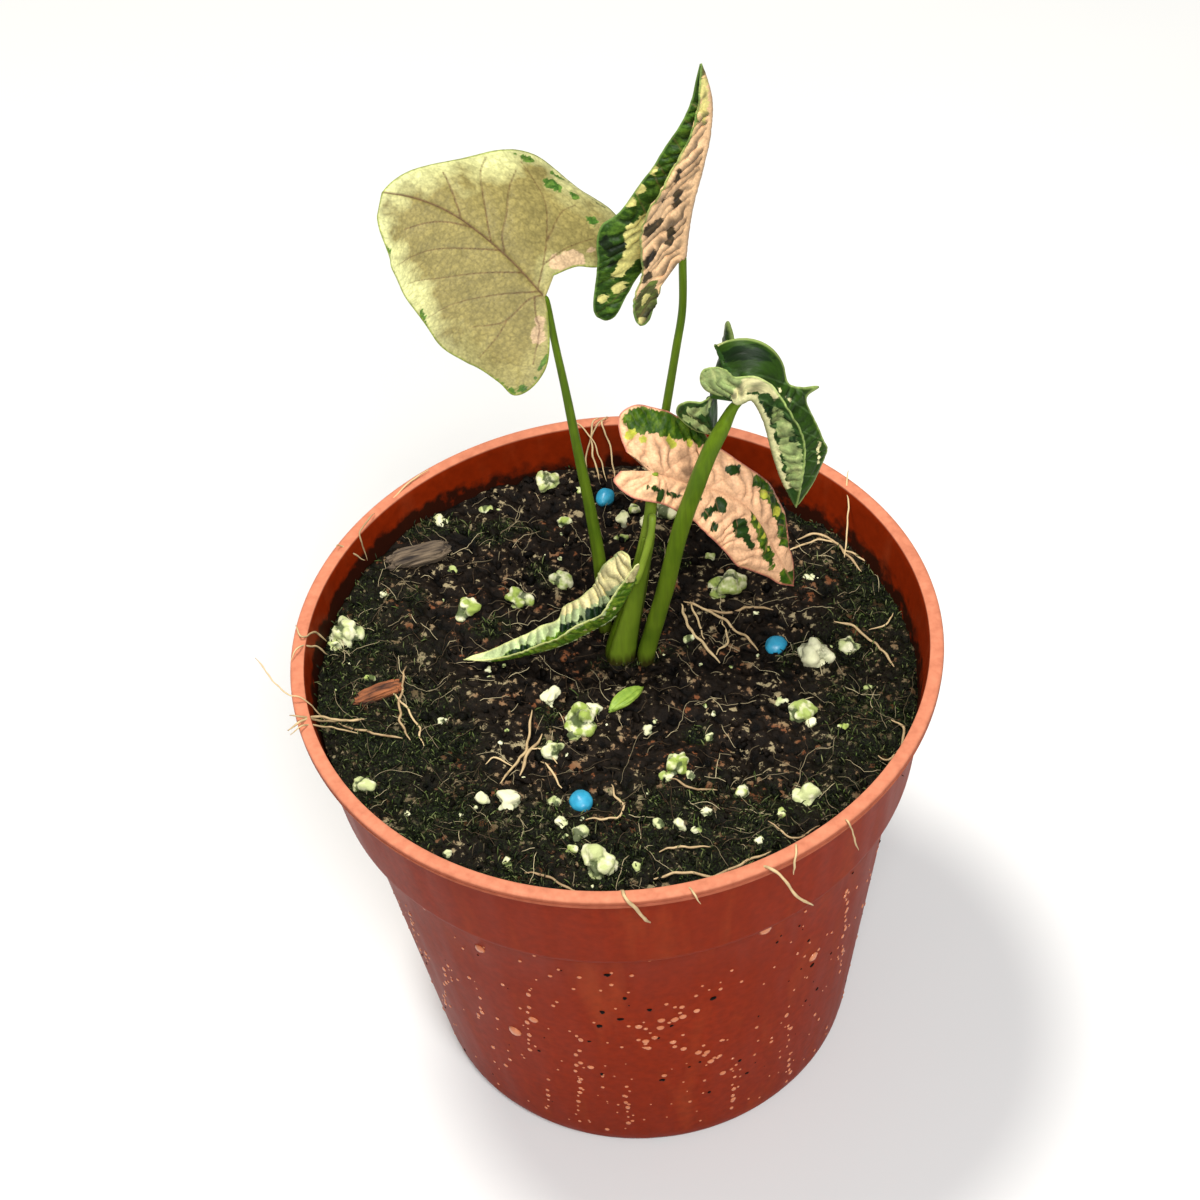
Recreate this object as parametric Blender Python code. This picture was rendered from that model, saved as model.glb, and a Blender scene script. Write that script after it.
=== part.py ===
"""A young arrowhead plant with five leaves, growing in a 12 cm nursery pot full of potting soil.

The origin is the middle of the pot's base, +Z is up, the nodding leaf hangs towards +X and the
crown stands a little towards +Y. Sizes and places below are in millimetres. Each mesh is scaled
to metres when it is made.
"""

import math
import random

import bmesh
import bpy
import numpy as np
from mathutils import Matrix, Vector, geometry, noise
from mathutils.bvhtree import BVHTree

MM = 0.001
GAP = 0.3
SEED = 7
SHARP_ANGLE = 35.0

# Pot
POT_HEIGHT = 104.0
RIM_RADIUS = 60.0
RIM_WIDTH = 2.6
LIP_DROP = 2.2
COLLAR_RADIUS = 55.2
COLLAR_DEPTH = 25.0
BODY_TOP_RADIUS = 52.6
BASE_RADIUS = 42.6
WALL = 1.3
CORNER = 4.0
STANDING_RING = (36.0, 40.0)
BASE_RISE = 2.0
CENTRE_HOLE_RADIUS = 4.5
DRAIN_HOLES = 8
DRAIN_HOLE_RADIUS = 4.5
DRAIN_CIRCLE_RADIUS = 26.0
RING_NOTCHES = 4
NOTCH_SIZE = (8.0, 4.0, 1.2)
POT_SEGMENTS = 64
HOLE_SEGMENTS = 12
HOLE_CUT = 12.0

# Soil. Swells and crumbs each have a width and a height, and the outermost of the points that
# are spread over the surface stay a little inside the row along the wall.
SOIL_LEVEL = POT_HEIGHT - 10.5
SOIL_SLOPE = 0.05
SOIL_SWELLS = (24.0, 1.3)
SOIL_CRUMBS = (7.5, 1.1)
SOIL_POINTS = 360
SOIL_EDGE_ROW = 2.6
GOLDEN_ANGLE = math.pi * (3 - math.sqrt(5))

# Buried crown that the petioles stand on
CROWN_PLACE = (1.3, 7.0)
CROWN_TOP = 88.0
CROWN_PROFILE = (
    (0.0, 64.0), (2.5, 64.6), (4.6, 68.0), (6.2, 75.0), (6.6, 83.0), (7.4, 86.4), (7.6, CROWN_TOP),
)
CROWN_SEGMENTS = 20

# Leaf blades
BLADE_THICKNESS = 0.6
BLADE_SPACING = 2.1
EDGE_CLEARANCE = 0.55
RUFFLE_DEPTH = 7.0
SLOPE_STEP = 0.05
LINE_STEPS = 10
SIDE_STEPS = 8
LOBE_TURN = 7.0
TANGENT_REACH = 0.8

# Each leaf is a midrib in space, from the petiole's end to the tip, and two halves. A half has the
# direction that it spreads in, from base to tip, the direction of its lobe behind the petiole,
# how much it curls in radians per millimetre, and its margin from the tip round to the notch,
# as distances along the midrib and out from it. A lobe that rolls over also has the directions
# that it spreads in further and further behind the petiole. The ruffle is the height of the waves
# at the margin and how many waves a half has.
LEAVES = {
    "pale": {
        "midrib": [(-6.8, 20, 170.3), (-12, 26, 174), (-17.5, 31, 177.2), (-22.5, 34.3, 179.6),
                   (-28, 36.6, 181.2), (-33.2, 37.8, 182)],
        "right": {
            "side": [(0.6, 0.7, 0.37), (0.6, 0.7, 0.37)],
            "lobe": (0.75, -0.6, -0.34), "curl": -0.028,
            "margin": [(33.2, 2.5), (29.2, 6.5), (25, 10.8), (21.8, 15.5), (19.5, 18.5),
                       (17, 20.2), (11, 21.2), (6.2, 22.2), (2.4, 20.4), (-1.4, 15.6), (-1.5, 11.2),
                       (0.8, 8.2), (2, 3.8)],
        },
        "left": {
            "side": [(-0.6, -0.7, -0.37), (-0.6, -0.7, -0.37)],
            "lobe": (0.75, -0.6, -0.34), "curl": -0.012,
            "margin": [(34.8, 5), (31.8, 10.8), (27, 14.4), (21.8, 16.4), (12.2, 18.2),
                       (5, 19), (-1, 17.2), (-6.2, 17), (-9.8, 17.3), (-11, 14.5), (-10, 10.2),
                       (-7, 6.2), (-2.6, 2)],
        },
        "ruffle": (0.7, 3.0),
    },
    "upright": {
        "midrib": [(17.3, 24, 173), (18.2, 24.5, 178.8), (19.3, 25, 184), (21, 26, 189.4),
                   (22.8, 27, 196.4), (23.4, 28, 202.8), (22.2, 29, 209.3)],
        "right": {
            "side": [(-0.75, -0.6, -0.3), (-0.7, -0.7, -0.1), (-0.7, -0.7, 0)],
            "lobe": (-0.35, -0.45, -0.9), "curl": 0.0,
            "margin": [(31, 3), (26, 4.8), (22, 6.7), (18.5, 10), (14, 11.7), (9, 11.7),
                       (4.5, 10.9), (0, 10), (-4.5, 9.7), (-8, 8.4), (-10.2, 6.2), (-8.8, 4.2),
                       (-4, 3.6)],
        },
        "left": {
            "side": [(-0.95, -0.08, -0.2), (-0.95, 0.1, -0.2)],
            "lobe": (-0.4, -0.2, -0.9), "curl": 0.0,
            "margin": [(33.2, 2.2), (26.2, 4.5), (19.8, 6.8), (13.8, 8.8), (8, 11.8),
                       (5.5, 14.6), (1.5, 15), (-4.5, 13.5), (-10.8, 11.8), (-12.6, 9.6), (-12, 7.8),
                       (-8.5, 7.2), (-3.5, 6.2), (-1, 4.5)],
        },
        "ruffle": (0.5, 4.0),
    },
    "nodding": {
        "midrib": [(24.2, 5, 155.8), (27.2, 5.5, 156.1), (29.2, 4.5, 151.8), (30.2, 3, 146.5),
                   (31.5, 1.5, 140.7), (33.9, 0.5, 133.5)],
        "right": {
            "side": [(0.1, 0, 0.95), (0.7, -0.5, 0.2), (0.7, -0.7, 0.1)],
            "lobe": (-0.95, 0.1, 0.3), "curl": 0.0,
            "margin": [(24.4, 2), (18.2, 5.4), (11.6, 6.6), (6.4, 5.8), (3.6, 4.8), (2.4, 5.2),
                       (1.4, 6), (0.2, 7.8), (-1.8, 8.2), (-4.2, 7), (-5.4, 4), (-5, 1.4), (-2.5, 0.8)],
        },
        "left": {
            "side": [(0.25, 0.8, 0.4), (0.8, 0.5, 0.3), (0.8, 0.6, 0.2)],
            "lobe": (-0.9, 0.35, -0.1), "curl": 0.0,
            "behind": [(0.1, 0.9, 0), (0.3, 0, -0.95)],
            "margin": [(25.8, 4.6), (23.6, 7.4), (20.8, 9.6), (17.2, 9.4), (12.4, 9), (9.2, 9),
                       (8.8, 12.2), (7.6, 9), (5.8, 7), (4, 8.4), (2.6, 10.2), (0.8, 11.4),
                       (-1, 10.4), (-2.6, 8.8), (-4.5, 8.2), (-8, 9.8), (-11.2, 8.6),
                       (-12.4, 4.5), (-10, 1.4), (-5, 0.9)],
        },
        "ruffle": (0.5, 3.0),
    },
    "pink": {
        "midrib": [(9.3, 9, 137), (12.6, 9.5, 134.6), (16.3, 9.5, 132.4), (21, 9.2, 130.3),
                   (25.9, 8, 126.8), (29, 6.5, 121), (31.2, 4.5, 115.8), (33.4, 2.5, 111)],
        "right": {
            "side": [(-0.35, -0.85, -0.2), (-0.5, -0.7, -0.3), (-0.6, -0.6, -0.3)],
            "lobe": (-0.9, 0.0, 0.3), "curl": -0.03,
            "margin": [(35.8, 2.4), (33.2, 3.8), (29.5, 6.8), (26.5, 8.3), (18.5, 8.8),
                       (12, 7.8), (9.5, 6.4), (6.8, 5.7), (3.2, 5.3), (-0.5, 5.6), (-4, 5), (-7, 2.8),
                       (-6, 0.8)],
        },
        "left": {
            "side": [(0.15, 0.6, 0.6), (0.3, 0.75, 0.45)],
            "lobe": (-0.9, 0.1, 0.1), "curl": 0.0,
            "margin": [(34.2, 2.5), (31, 3.4), (28.2, 5.2), (25.5, 6.4), (21.5, 6.3),
                       (17, 6.2), (12.8, 7.2), (7.2, 9.8), (2.5, 10.8), (-2.8, 11.7), (-5.5, 12),
                       (-7.7, 10.8), (-8.3, 9), (-7.2, 6), (-5.5, 3.3)],
        },
        "ruffle": (0.4, 4.0),
    },
    "young": {
        "midrib": [(4.8, 1.6, 117.2), (0.7, 0.2, 110.4), (-3.6, 0, 107), (-9.3, 0.6, 103.1),
                   (-16, 2.2, 99.4), (-22.6, 3.8, 96.6), (-28.6, 5, 96.4)],
        "right": {
            "side": [(-0.25, -0.35, 0.9), (-0.25, -0.3, 0.9)],
            "lobe": (0.3, -0.2, 0.9), "curl": 0.0,
            "margin": [(36, 1.4), (31, 2), (26.8, 2.6), (16.8, 4.4), (12.6, 4.4), (7.6, 4.8),
                       (1, 4.4), (-3.4, 3.6), (-6.4, 2.4), (-5, 1.4), (-2, 1.2)],
        },
        "left": {
            "side": [(-0.45, 0.8, 0.3), (-0.45, 0.8, 0.3)],
            "lobe": (0.1, 0.3, 0.9), "curl": 0.0,
            "margin": [(39.6, 1.6), (34.2, 4), (27.4, 5.4), (24.6, 6.4), (20.8, 6.4), (18.4, 8),
                       (13.8, 7.6), (11.2, 8), (4, 7.8), (0, 6.8), (-2.8, 4.6), (-3.2, 2.4),
                       (-1.4, 1.4)],
        },
        "ruffle": (0.4, 5.0),
    },
}

# Stalks as points up from the crown, with the radius at each. The young leaf's stalk branches
# off the pink leaf's, which sheathes it.
STALK_STEPS = 3
PETIOLES = {
    "pale": [(-1.6, 10.8, 88.3, 1.7), (-1.6, 10.8, 93, 1.7), (-1.5, 10.9, 104, 1.65),
             (-1.6, 11.3, 114, 1.55), (-2.4, 12.4, 126, 1.35), (-3.6, 14, 139, 1.15),
             (-4.8, 16.2, 152, 0.95), (-5.8, 18.2, 161, 0.85), (-6.5, 19.6, 168.8, 0.8)],
    "upright": [(3.2, 10.6, 88.3, 1.5), (3.2, 10.6, 93, 1.5), (5.2, 11.2, 103, 1.4),
                (7, 12.6, 112, 1.3), (9, 15.2, 124, 1.15), (10.9, 18, 133.6, 1.0),
                (12.7, 20, 141.4, 0.9), (15.2, 22, 153.6, 0.85), (16.8, 23.2, 162, 0.8),
                (17.3, 23.9, 171.6, 0.8)],
    "nodding": [(5.4, 3.6, 88.3, 2.2), (5.4, 3.6, 94, 2.2), (7.2, 3.1, 102.3, 2.1),
                (9.8, 2.4, 113.1, 2.05), (13.2, 1.8, 128.8, 2.0), (16, 1.6, 138.4, 2.0),
                (18.9, 2.3, 146.4, 1.9), (21.5, 3.5, 151.1, 1.7), (23.5, 4.8, 154.3, 1.2)],
    "pink": [(0, 5.2, 88.3, 2.9), (0, 5.2, 93, 2.9), (1.4, 5.2, 100, 2.5), (3, 5.4, 106, 2.0),
             (5, 5.9, 114, 1.6), (7, 6.6, 122, 1.4), (8.4, 7.6, 129.5, 1.2), (9, 8.5, 135, 1.1)],
    "young": [(7.2, 7.2, 122.0, 0.9), (8.3, 6.6, 127.2, 0.8), (8.5, 5.2, 129.4, 0.75),
              (8.1, 3.9, 127.4, 0.7), (7.3, 3.2, 124.4, 0.7), (6.3, 2.55, 121.4, 0.65),
              (5.35, 1.9, 118.6, 0.6)],
}

# Loose pieces on the soil, as a place across the pot and a size
PELLETS = [(0.7, 46.6, 4.6), (30.0, 5.2, 4.4), (-8.8, -29.6, 4.6)]
PERLITE = [
    (-10.5, 52.0, 5.0), (-27.5, 18.5, 5.0), (-17.5, 21.3, 5.0), (-9.5, 25.5, 4.2), (-50.5, 15.0, 6.6),
    (-13.0, -4.2, 4.2), (-7.6, -10.6, 6.4), (-13.2, -17.0, 3.8), (22.5, 20.5, 6.6), (37.0, 2.0, 7.0),
    (43.6, 3.8, 4.0), (12.4, 41.5, 6.2), (-21.5, -29.0, 5.0), (-6.7, -43.4, 6.4), (-47.5, -23.0, 4.2),
    (31.5, -31.0, 4.6), (9.0, -23.5, 4.8), (33.0, -12.0, 5.0),
]

# How uneven a lump is, and how far its middle lies above the soil as a share of its size
PELLET_LUMP = (0.1, 0.2)
PERLITE_LUMP = (0.45, 0.14)

# Flat chips as a place, a length, a width, a thickness and a turn in degrees
CHIPS = {
    "bark_chip_1": (-36.5, 33.5, 12.5, 5.0, 3.0, 14.0),
    "bark_chip_2": (-44.5, -1.0, 9.5, 3.4, 2.4, 20.0),
    "leaf_scrap": (1.0, -6.6, 8.6, 3.0, 1.4, 38.0),
}
CHIP_SQUARENESS = 0.6
CHIP_LIFT = 0.25
SEAT_CLEARANCE = 2.5 * GAP

# Roots that lie on the soil, as places across the pot
ROOTS = [
    [(-23.1, -25.0), (-20.6, -20.6), (-17.9, -16.2), (-17.2, -11.6), (-16.4, -8.0)],
    [(13.4, 17.6), (16.6, 15.2), (20.2, 12.4), (24.0, 8.6), (26.6, 4.2)],
    [(37.0, 33.4), (41.0, 33.2), (45.0, 29.6), (48.4, 22.8)],
    [(41.4, 9.8), (45.2, 8.2), (48.8, 3.6), (51.2, -2.6)],
    [(48.8, -16.1), (50.8, -18.2), (49.8, -21.6), (47.4, -24.4), (45.0, -23.6)],
    [(2.6, -48.6), (8.0, -47.2), (13.4, -48.4), (19.0, -46.4), (24.0, -44.6)],
]
ROOT_RADIUS = 0.45
ROOT_STEP = 2.0

COLOURS = {
    "terracotta plastic": ("#A8401C", 0.42),
    "peat": ("#2B2119", 0.95),
    "green stalk": ("#4F7A1E", 0.5),
    "pale blade": ("#B9B583", 0.55),
    "pink blade": ("#D9A486", 0.55),
    "dark green blade": ("#2F4F22", 0.5),
    "grey green blade": ("#7C9A6E", 0.5),
    "leaf scrap": ("#6C9440", 0.6),
    "blue pellet": ("#0F93D2", 0.45),
    "perlite": ("#E4E7C0", 0.9),
    "bark": ("#6B5648", 0.9),
    "root": ("#B98F63", 0.8),
}


BLADE_COLOURS = {
    "pale": "pale blade",
    "upright": "pink blade",
    "nodding": "dark green blade",
    "pink": "pink blade",
    "young": "grey green blade",
}


def clear_scene():
    for obj in list(bpy.data.objects):
        bpy.data.objects.remove(obj, do_unlink=True)


def linear(code):
    """The linear colour of an sRGB hex code."""
    values = [int(code[i : i + 2], 16) / 255 for i in (1, 3, 5)]
    return [v / 12.92 if v <= 0.04045 else ((v + 0.055) / 1.055) ** 2.4 for v in values]


def material(name):
    found = bpy.data.materials.get(name)
    if found:
        return found
    code, roughness = COLOURS[name]
    made = bpy.data.materials.new(name)
    made.use_nodes = True
    shader = made.node_tree.nodes["Principled BSDF"]
    shader.inputs["Base Color"].default_value = (*linear(code), 1)
    shader.inputs["Roughness"].default_value = roughness
    return made


def add_object(name, data, colour):
    data.materials.append(material(colour))
    obj = bpy.data.objects.new(name, data)
    bpy.context.scene.collection.objects.link(obj)
    return obj


def object_from_bmesh(name, bm, colour, smooth=True):
    """Scales the mesh from millimetres to metres and turns its faces outwards."""
    bmesh.ops.scale(bm, vec=(MM, MM, MM), verts=bm.verts)
    bmesh.ops.recalc_face_normals(bm, faces=bm.faces)
    mesh = bpy.data.meshes.new(name)
    bm.to_mesh(mesh)
    bm.free()
    if smooth:
        mesh.shade_smooth()
        mesh.set_sharp_from_angle(angle=math.radians(SHARP_ANGLE))
    return add_object(name, mesh, colour)


def hide_helper(obj):
    obj.hide_render = True
    obj.display_type = "WIRE"


def boolean(obj, other, operation):
    modifier = obj.modifiers.new(operation.lower(), "BOOLEAN")
    modifier.operation = operation
    modifier.object = other
    hide_helper(other)


def turned(bm, profile, segments, place=(0, 0)):
    """Turns a profile of (radius, height) points about the upright line through the place."""
    first = [bm.verts.new((place[0] + r, place[1], z)) for r, z in profile]
    edges = [bm.edges.new(pair) for pair in zip(first, first[1:])]
    bmesh.ops.spin(
        bm, geom=first + edges, cent=(*place, 0), axis=(0, 0, 1), angle=2 * math.pi, steps=segments,
    )
    bmesh.ops.remove_doubles(bm, verts=bm.verts, dist=1e-4)


def inner_radius(height):
    """Radius of the pot's inside wall above the step."""
    top = RIM_RADIUS - RIM_WIDTH
    low = COLLAR_RADIUS - WALL
    step = POT_HEIGHT - COLLAR_DEPTH + WALL
    return low + (top - low) * (height - step) / (POT_HEIGHT - step)


def pot_profile():
    """The wall's outline, down the outside from the rim and up the inside."""
    step = POT_HEIGHT - COLLAR_DEPTH
    groove = RIM_RADIUS - 0.6
    lip = POT_HEIGHT - LIP_DROP
    inside_corner = BASE_RADIUS - CORNER
    ring_in, ring_out = STANDING_RING
    floor = BASE_RISE + WALL
    return [
        (RIM_RADIUS - 0.4, POT_HEIGHT),
        (RIM_RADIUS, POT_HEIGHT - 0.4),
        (RIM_RADIUS, POT_HEIGHT - 1.0),
        (groove, POT_HEIGHT - 1.15),
        (groove, POT_HEIGHT - 1.5),
        (RIM_RADIUS - 0.1, POT_HEIGHT - 1.65),
        (RIM_RADIUS - 0.1, lip),
        (RIM_RADIUS - 1.9, lip - 0.4),
        (COLLAR_RADIUS, step + 0.6),
        (COLLAR_RADIUS - 0.5, step),
        (BODY_TOP_RADIUS, step - 0.4),
        (BASE_RADIUS, CORNER),
        (BASE_RADIUS - 0.4, CORNER / 2),
        (BASE_RADIUS - 1.3, CORNER / 6),
        (ring_out, 0.0),
        (ring_in, 0.0),
        (ring_in - 1.4, BASE_RISE),
        (CENTRE_HOLE_RADIUS, BASE_RISE),
        (CENTRE_HOLE_RADIUS, floor),
        (inside_corner - 1.0, floor),
        (BASE_RADIUS - WALL - 0.8, floor + 1.2),
        (BODY_TOP_RADIUS - WALL, step - 0.6),
        (inner_radius(step + WALL), step + WALL),
        (RIM_RADIUS - RIM_WIDTH, POT_HEIGHT - 0.3),
        (RIM_RADIUS - RIM_WIDTH + 0.3, POT_HEIGHT),
    ]


def make_pot():
    bm = bmesh.new()
    profile = pot_profile()
    turned(bm, profile + profile[:1], POT_SEGMENTS)
    pot = object_from_bmesh("pot", bm, "terracotta plastic")
    cutters = bmesh.new()
    for i in range(DRAIN_HOLES):
        angle = 2 * math.pi * (i + 0.5) / DRAIN_HOLES
        centre = Vector((math.cos(angle), math.sin(angle), 0)) * DRAIN_CIRCLE_RADIUS
        bmesh.ops.create_cone(
            cutters, cap_ends=True, segments=HOLE_SEGMENTS, radius1=DRAIN_HOLE_RADIUS,
            radius2=DRAIN_HOLE_RADIUS, depth=HOLE_CUT, matrix=Matrix.Translation(centre),
        )
    for i in range(RING_NOTCHES):
        turn = Matrix.Rotation(2 * math.pi * i / RING_NOTCHES, 4, "Z")
        place = turn @ Matrix.Translation((sum(STANDING_RING) / 2, 0, 0))
        size = Matrix.Diagonal((NOTCH_SIZE[0], NOTCH_SIZE[1], 2 * NOTCH_SIZE[2], 1))
        bmesh.ops.create_cube(cutters, size=1, matrix=place @ size)
    cutter = object_from_bmesh("drain_cutters", cutters, "terracotta plastic", smooth=False)
    boolean(pot, cutter, "DIFFERENCE")


def soil_height(x, y):
    """Height of the soil, which has a gentle slope, broad swells and crumbs."""
    level = SOIL_LEVEL - SOIL_SLOPE * x
    for (width, height), layer in ((SOIL_SWELLS, 3.1), (SOIL_CRUMBS, 8.4)):
        level += height * noise.noise(Vector((x / width, y / width, layer)))
    return level


def soil_edge_point(angle):
    """The point where the soil meets the wall, less the gap."""
    radius = inner_radius(SOIL_LEVEL) - GAP
    x, y = radius * math.cos(angle), radius * math.sin(angle)
    height = soil_height(x, y)
    radius = inner_radius(height) - GAP
    return (radius * math.cos(angle), radius * math.sin(angle), height)


def soil_top():
    """Points and triangles of the soil's surface. The rim points come first."""
    rim = [soil_edge_point(2 * math.pi * i / POT_SEGMENTS) for i in range(POT_SEGMENTS)]
    reach = inner_radius(SOIL_LEVEL) - GAP - SOIL_EDGE_ROW
    inner = []
    for i in range(SOIL_POINTS):
        radius = reach * math.sqrt((i + 0.5) / SOIL_POINTS)
        angle = i * GOLDEN_ANGLE
        x, y = radius * math.cos(angle), radius * math.sin(angle)
        inner.append((x, y, soil_height(x, y)))
    points = rim + inner
    flat = [Vector(p[:2]) for p in points]
    faces = geometry.delaunay_2d_cdt(flat, [], [], 0, 1e-5)[2]
    return points, [tuple(face) for face in faces]


def make_soil(points, faces):
    """Closes the soil's surface with the side that follows the pot's wall and a flat bottom."""
    step = POT_HEIGHT - COLLAR_DEPTH
    shoulder = step + WALL + GAP
    floor = BASE_RISE + WALL + GAP
    sides = [
        (inner_radius(shoulder) - GAP, shoulder),
        (BODY_TOP_RADIUS - WALL - GAP, step - 0.6),
        (BASE_RADIUS - WALL - 0.8 - GAP, floor + 1.2),
        (BASE_RADIUS - CORNER - 1.0 - GAP, floor),
    ]
    bm = bmesh.new()
    top = [bm.verts.new(p) for p in points]
    for face in faces:
        bm.faces.new([top[i] for i in face])
    upper = top[:POT_SEGMENTS]
    for radius, height in sides:
        angles = [2 * math.pi * i / POT_SEGMENTS for i in range(POT_SEGMENTS)]
        lower = [bm.verts.new((radius * math.cos(t), radius * math.sin(t), height)) for t in angles]
        for i in range(POT_SEGMENTS):
            after = (i + 1) % POT_SEGMENTS
            bm.faces.new((upper[i], upper[after], lower[after], lower[i]))
        upper = lower
    bm.faces.new(upper)
    return object_from_bmesh("potting_soil", bm, "peat")


def smooth_line(points, steps=LINE_STEPS):
    """A smooth curve through the points, as a dense row of points."""
    points = np.array(points, float)
    first = 2 * points[0] - points[1]
    last = 2 * points[-1] - points[-2]
    padded = np.vstack([first, points, last])
    t = np.linspace(0, 1, steps, endpoint=False)[:, None]
    spans = []
    for a, b, c, d in zip(padded, padded[1:], padded[2:], padded[3:]):
        square = (a - 2.5 * b + 2 * c - d / 2) * t**2
        cube = (1.5 * (b - c) + (d - a) / 2) * t**3
        spans.append(b + (c - a) * t / 2 + square + cube)
    return np.vstack(spans + [points[-1:]])


def reach_of(line):
    """Distance along a row of points at each point."""
    return np.concatenate([[0], np.cumsum(np.linalg.norm(np.diff(line, axis=0), axis=1))])


def along(line, distance):
    """Points at these distances along a row of points."""
    reach = reach_of(line)
    return np.stack([np.interp(distance, reach, line[:, k]) for k in range(line.shape[1])], -1)


def unit(vectors):
    vectors = np.asarray(vectors, float)
    return vectors / np.maximum(np.linalg.norm(vectors, axis=-1, keepdims=True), 1e-9)


def turning(directions, share):
    """The direction at each share of the way through a row of directions."""
    row = smooth_line(directions, SIDE_STEPS)
    places = np.linspace(0, 1, len(row))
    return np.stack([np.interp(share, places, row[:, k]) for k in range(3)], -1)


def blade_surface(leaf, hand, a, b):
    """Places flat leaf points in space.

    a runs along the midrib and b out from it. hand is 1 on the right and -1 on the left.
    """
    half = leaf["right" if hand > 0 else "left"]
    rib = smooth_line(leaf["midrib"])
    length = reach_of(rib)[-1]
    ahead = np.clip(a, 0, length)
    before = along(rib, np.clip(ahead - TANGENT_REACH, 0, length))
    after = along(rib, np.clip(ahead + TANGENT_REACH, 0, length))
    tangent = unit(after - before)
    side = turning(half["side"], ahead / length)
    side = unit(side - np.sum(side * tangent, -1, keepdims=True) * tangent)
    if "behind" in half:
        back = np.clip(-a / LOBE_TURN, 0, 1)
        rolled = unit(turning([half["side"][0], *half["behind"]], back))
        side = np.where(a[..., None] < 0, rolled, side)
    up = np.cross(side, tangent) * hand
    bend = half["curl"] + 1e-6
    out = np.sin(bend * b) / bend
    lift = (1 - np.cos(bend * b)) / bend
    behind = np.minimum(a, 0)
    spread = side * out[..., None] + up * lift[..., None]
    return along(rib, ahead) + spread - unit(half["lobe"]) * behind[..., None]


def half_outline(leaf, hand, spacing):
    """A half's flat outline, up the midrib and back round the margin.

    Also how many of its points are on the midrib.
    """
    half = leaf["right" if hand > 0 else "left"]
    length = reach_of(smooth_line(leaf["midrib"]))[-1]
    margin = smooth_line([(length, 0), *half["margin"]])
    reach = reach_of(margin)[-1]
    midrib_steps = math.ceil(length / spacing)
    margin_steps = math.ceil(reach / spacing)
    midrib = [(a, 0.0) for a in np.linspace(0, length, midrib_steps + 1)]
    rest = along(margin, np.linspace(0, reach, margin_steps + 1)[1:])
    return np.vstack([midrib, rest]), midrib_steps + 1


def nearest_on(line, points):
    """Distance from each point to a row of points, and how far along the row its nearest place is."""
    starts, spans = line[:-1], np.diff(line, axis=0)
    squares = np.maximum(np.sum(spans**2, -1), 1e-12)
    offset = points[:, None] - starts[None]
    share = np.clip(np.sum(offset * spans[None], -1) / squares, 0, 1)
    gaps = np.linalg.norm(offset - share[..., None] * spans[None], axis=-1)
    best = np.argmin(gaps, axis=1)
    rows = np.arange(len(points))
    reach = reach_of(line)
    return gaps[rows, best], reach[best] + share[rows, best] * (reach[best + 1] - reach[best])


def inside_points(outline, spacing):
    """Points of a triangular grid that lie inside the outline and clear of it."""
    low, high = outline.min(0), outline.max(0)
    step = spacing * math.sqrt(3) / 2
    points = []
    for i, b in enumerate(np.arange(low[1] + step, high[1], step)):
        points.extend((a + spacing / 2 * (i % 2), b) for a in np.arange(low[0], high[0], spacing))
    points = np.array(points)
    ends = np.roll(outline, -1, axis=0)
    above = points[:, None, 1] < outline[None, :, 1]
    above_end = points[:, None, 1] < ends[None, :, 1]
    rise = ends[:, 1] - outline[:, 1]
    rise = np.where(np.abs(rise) < 1e-9, 1e-9, rise)
    cross = outline[:, 0] + (points[:, None, 1] - outline[:, 1]) * (ends[:, 0] - outline[:, 0]) / rise
    crossings = np.sum((above != above_end) & (points[:, None, 0] < cross), axis=1)
    gap = nearest_on(np.vstack([outline, outline[:1]]), points)[0]
    return points[(crossings % 2 == 1) & (gap > EDGE_CLEARANCE * spacing)]


def ruffled(leaf, hand, flat):
    """Places flat points in space and waves them towards the margin."""
    half = leaf["right" if hand > 0 else "left"]
    a, b = flat.T
    points = blade_surface(leaf, hand, a, b)
    step = SLOPE_STEP
    forward = blade_surface(leaf, hand, a + step, b) - blade_surface(leaf, hand, a - step, b)
    outward = blade_surface(leaf, hand, a, b + step) - blade_surface(leaf, hand, a, b - step)
    normal = unit(np.cross(outward, forward) * hand)
    length = reach_of(smooth_line(leaf["midrib"]))[-1]
    margin = smooth_line([(length, 0), *half["margin"]])
    gap, place = nearest_on(margin, flat)
    share = np.clip(1 - gap / RUFFLE_DEPTH, 0, 1)
    round_margin = place / reach_of(margin)[-1]
    swell, waves = leaf["ruffle"]
    height = swell * np.minimum(1, b / RUFFLE_DEPTH) * share**2 * np.sin(math.pi * round_margin)
    return points + normal * (height * np.sin(2 * math.pi * waves * round_margin + hand))[:, None]


def blade_points(leaf, spacing):
    """Points and triangles of the blade's middle surface. The halves share the midrib's points."""
    points = []
    faces = []
    for hand in (1, -1):
        outline, midrib_count = half_outline(leaf, hand, spacing)
        flat = np.vstack([outline, inside_points(outline, spacing)])
        count = len(outline)
        edges = [(i, (i + 1) % count) for i in range(count)]
        made = geometry.delaunay_2d_cdt([Vector(p) for p in flat], edges, [], 1, 1e-5)
        placed = ruffled(leaf, hand, flat)
        start = 0
        if hand < 0:
            start = len(points) - midrib_count
            placed = placed[midrib_count:]
        points.extend(placed)
        for face in made[2]:
            corners = [i if i < midrib_count else i + start for i in face]
            faces.append(corners if hand > 0 else corners[::-1])
    return points, faces


def make_blade(name, leaf, colour):
    points, faces = blade_points(leaf, BLADE_SPACING)
    mesh = bpy.data.meshes.new(name)
    mesh.from_pydata([Vector(point) * MM for point in points], [], faces)
    mesh.shade_smooth()
    blade = add_object(name, mesh, colour)
    solidify = blade.modifiers.new("thickness", "SOLIDIFY")
    solidify.thickness = BLADE_THICKNESS * MM
    solidify.offset = 0


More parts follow.
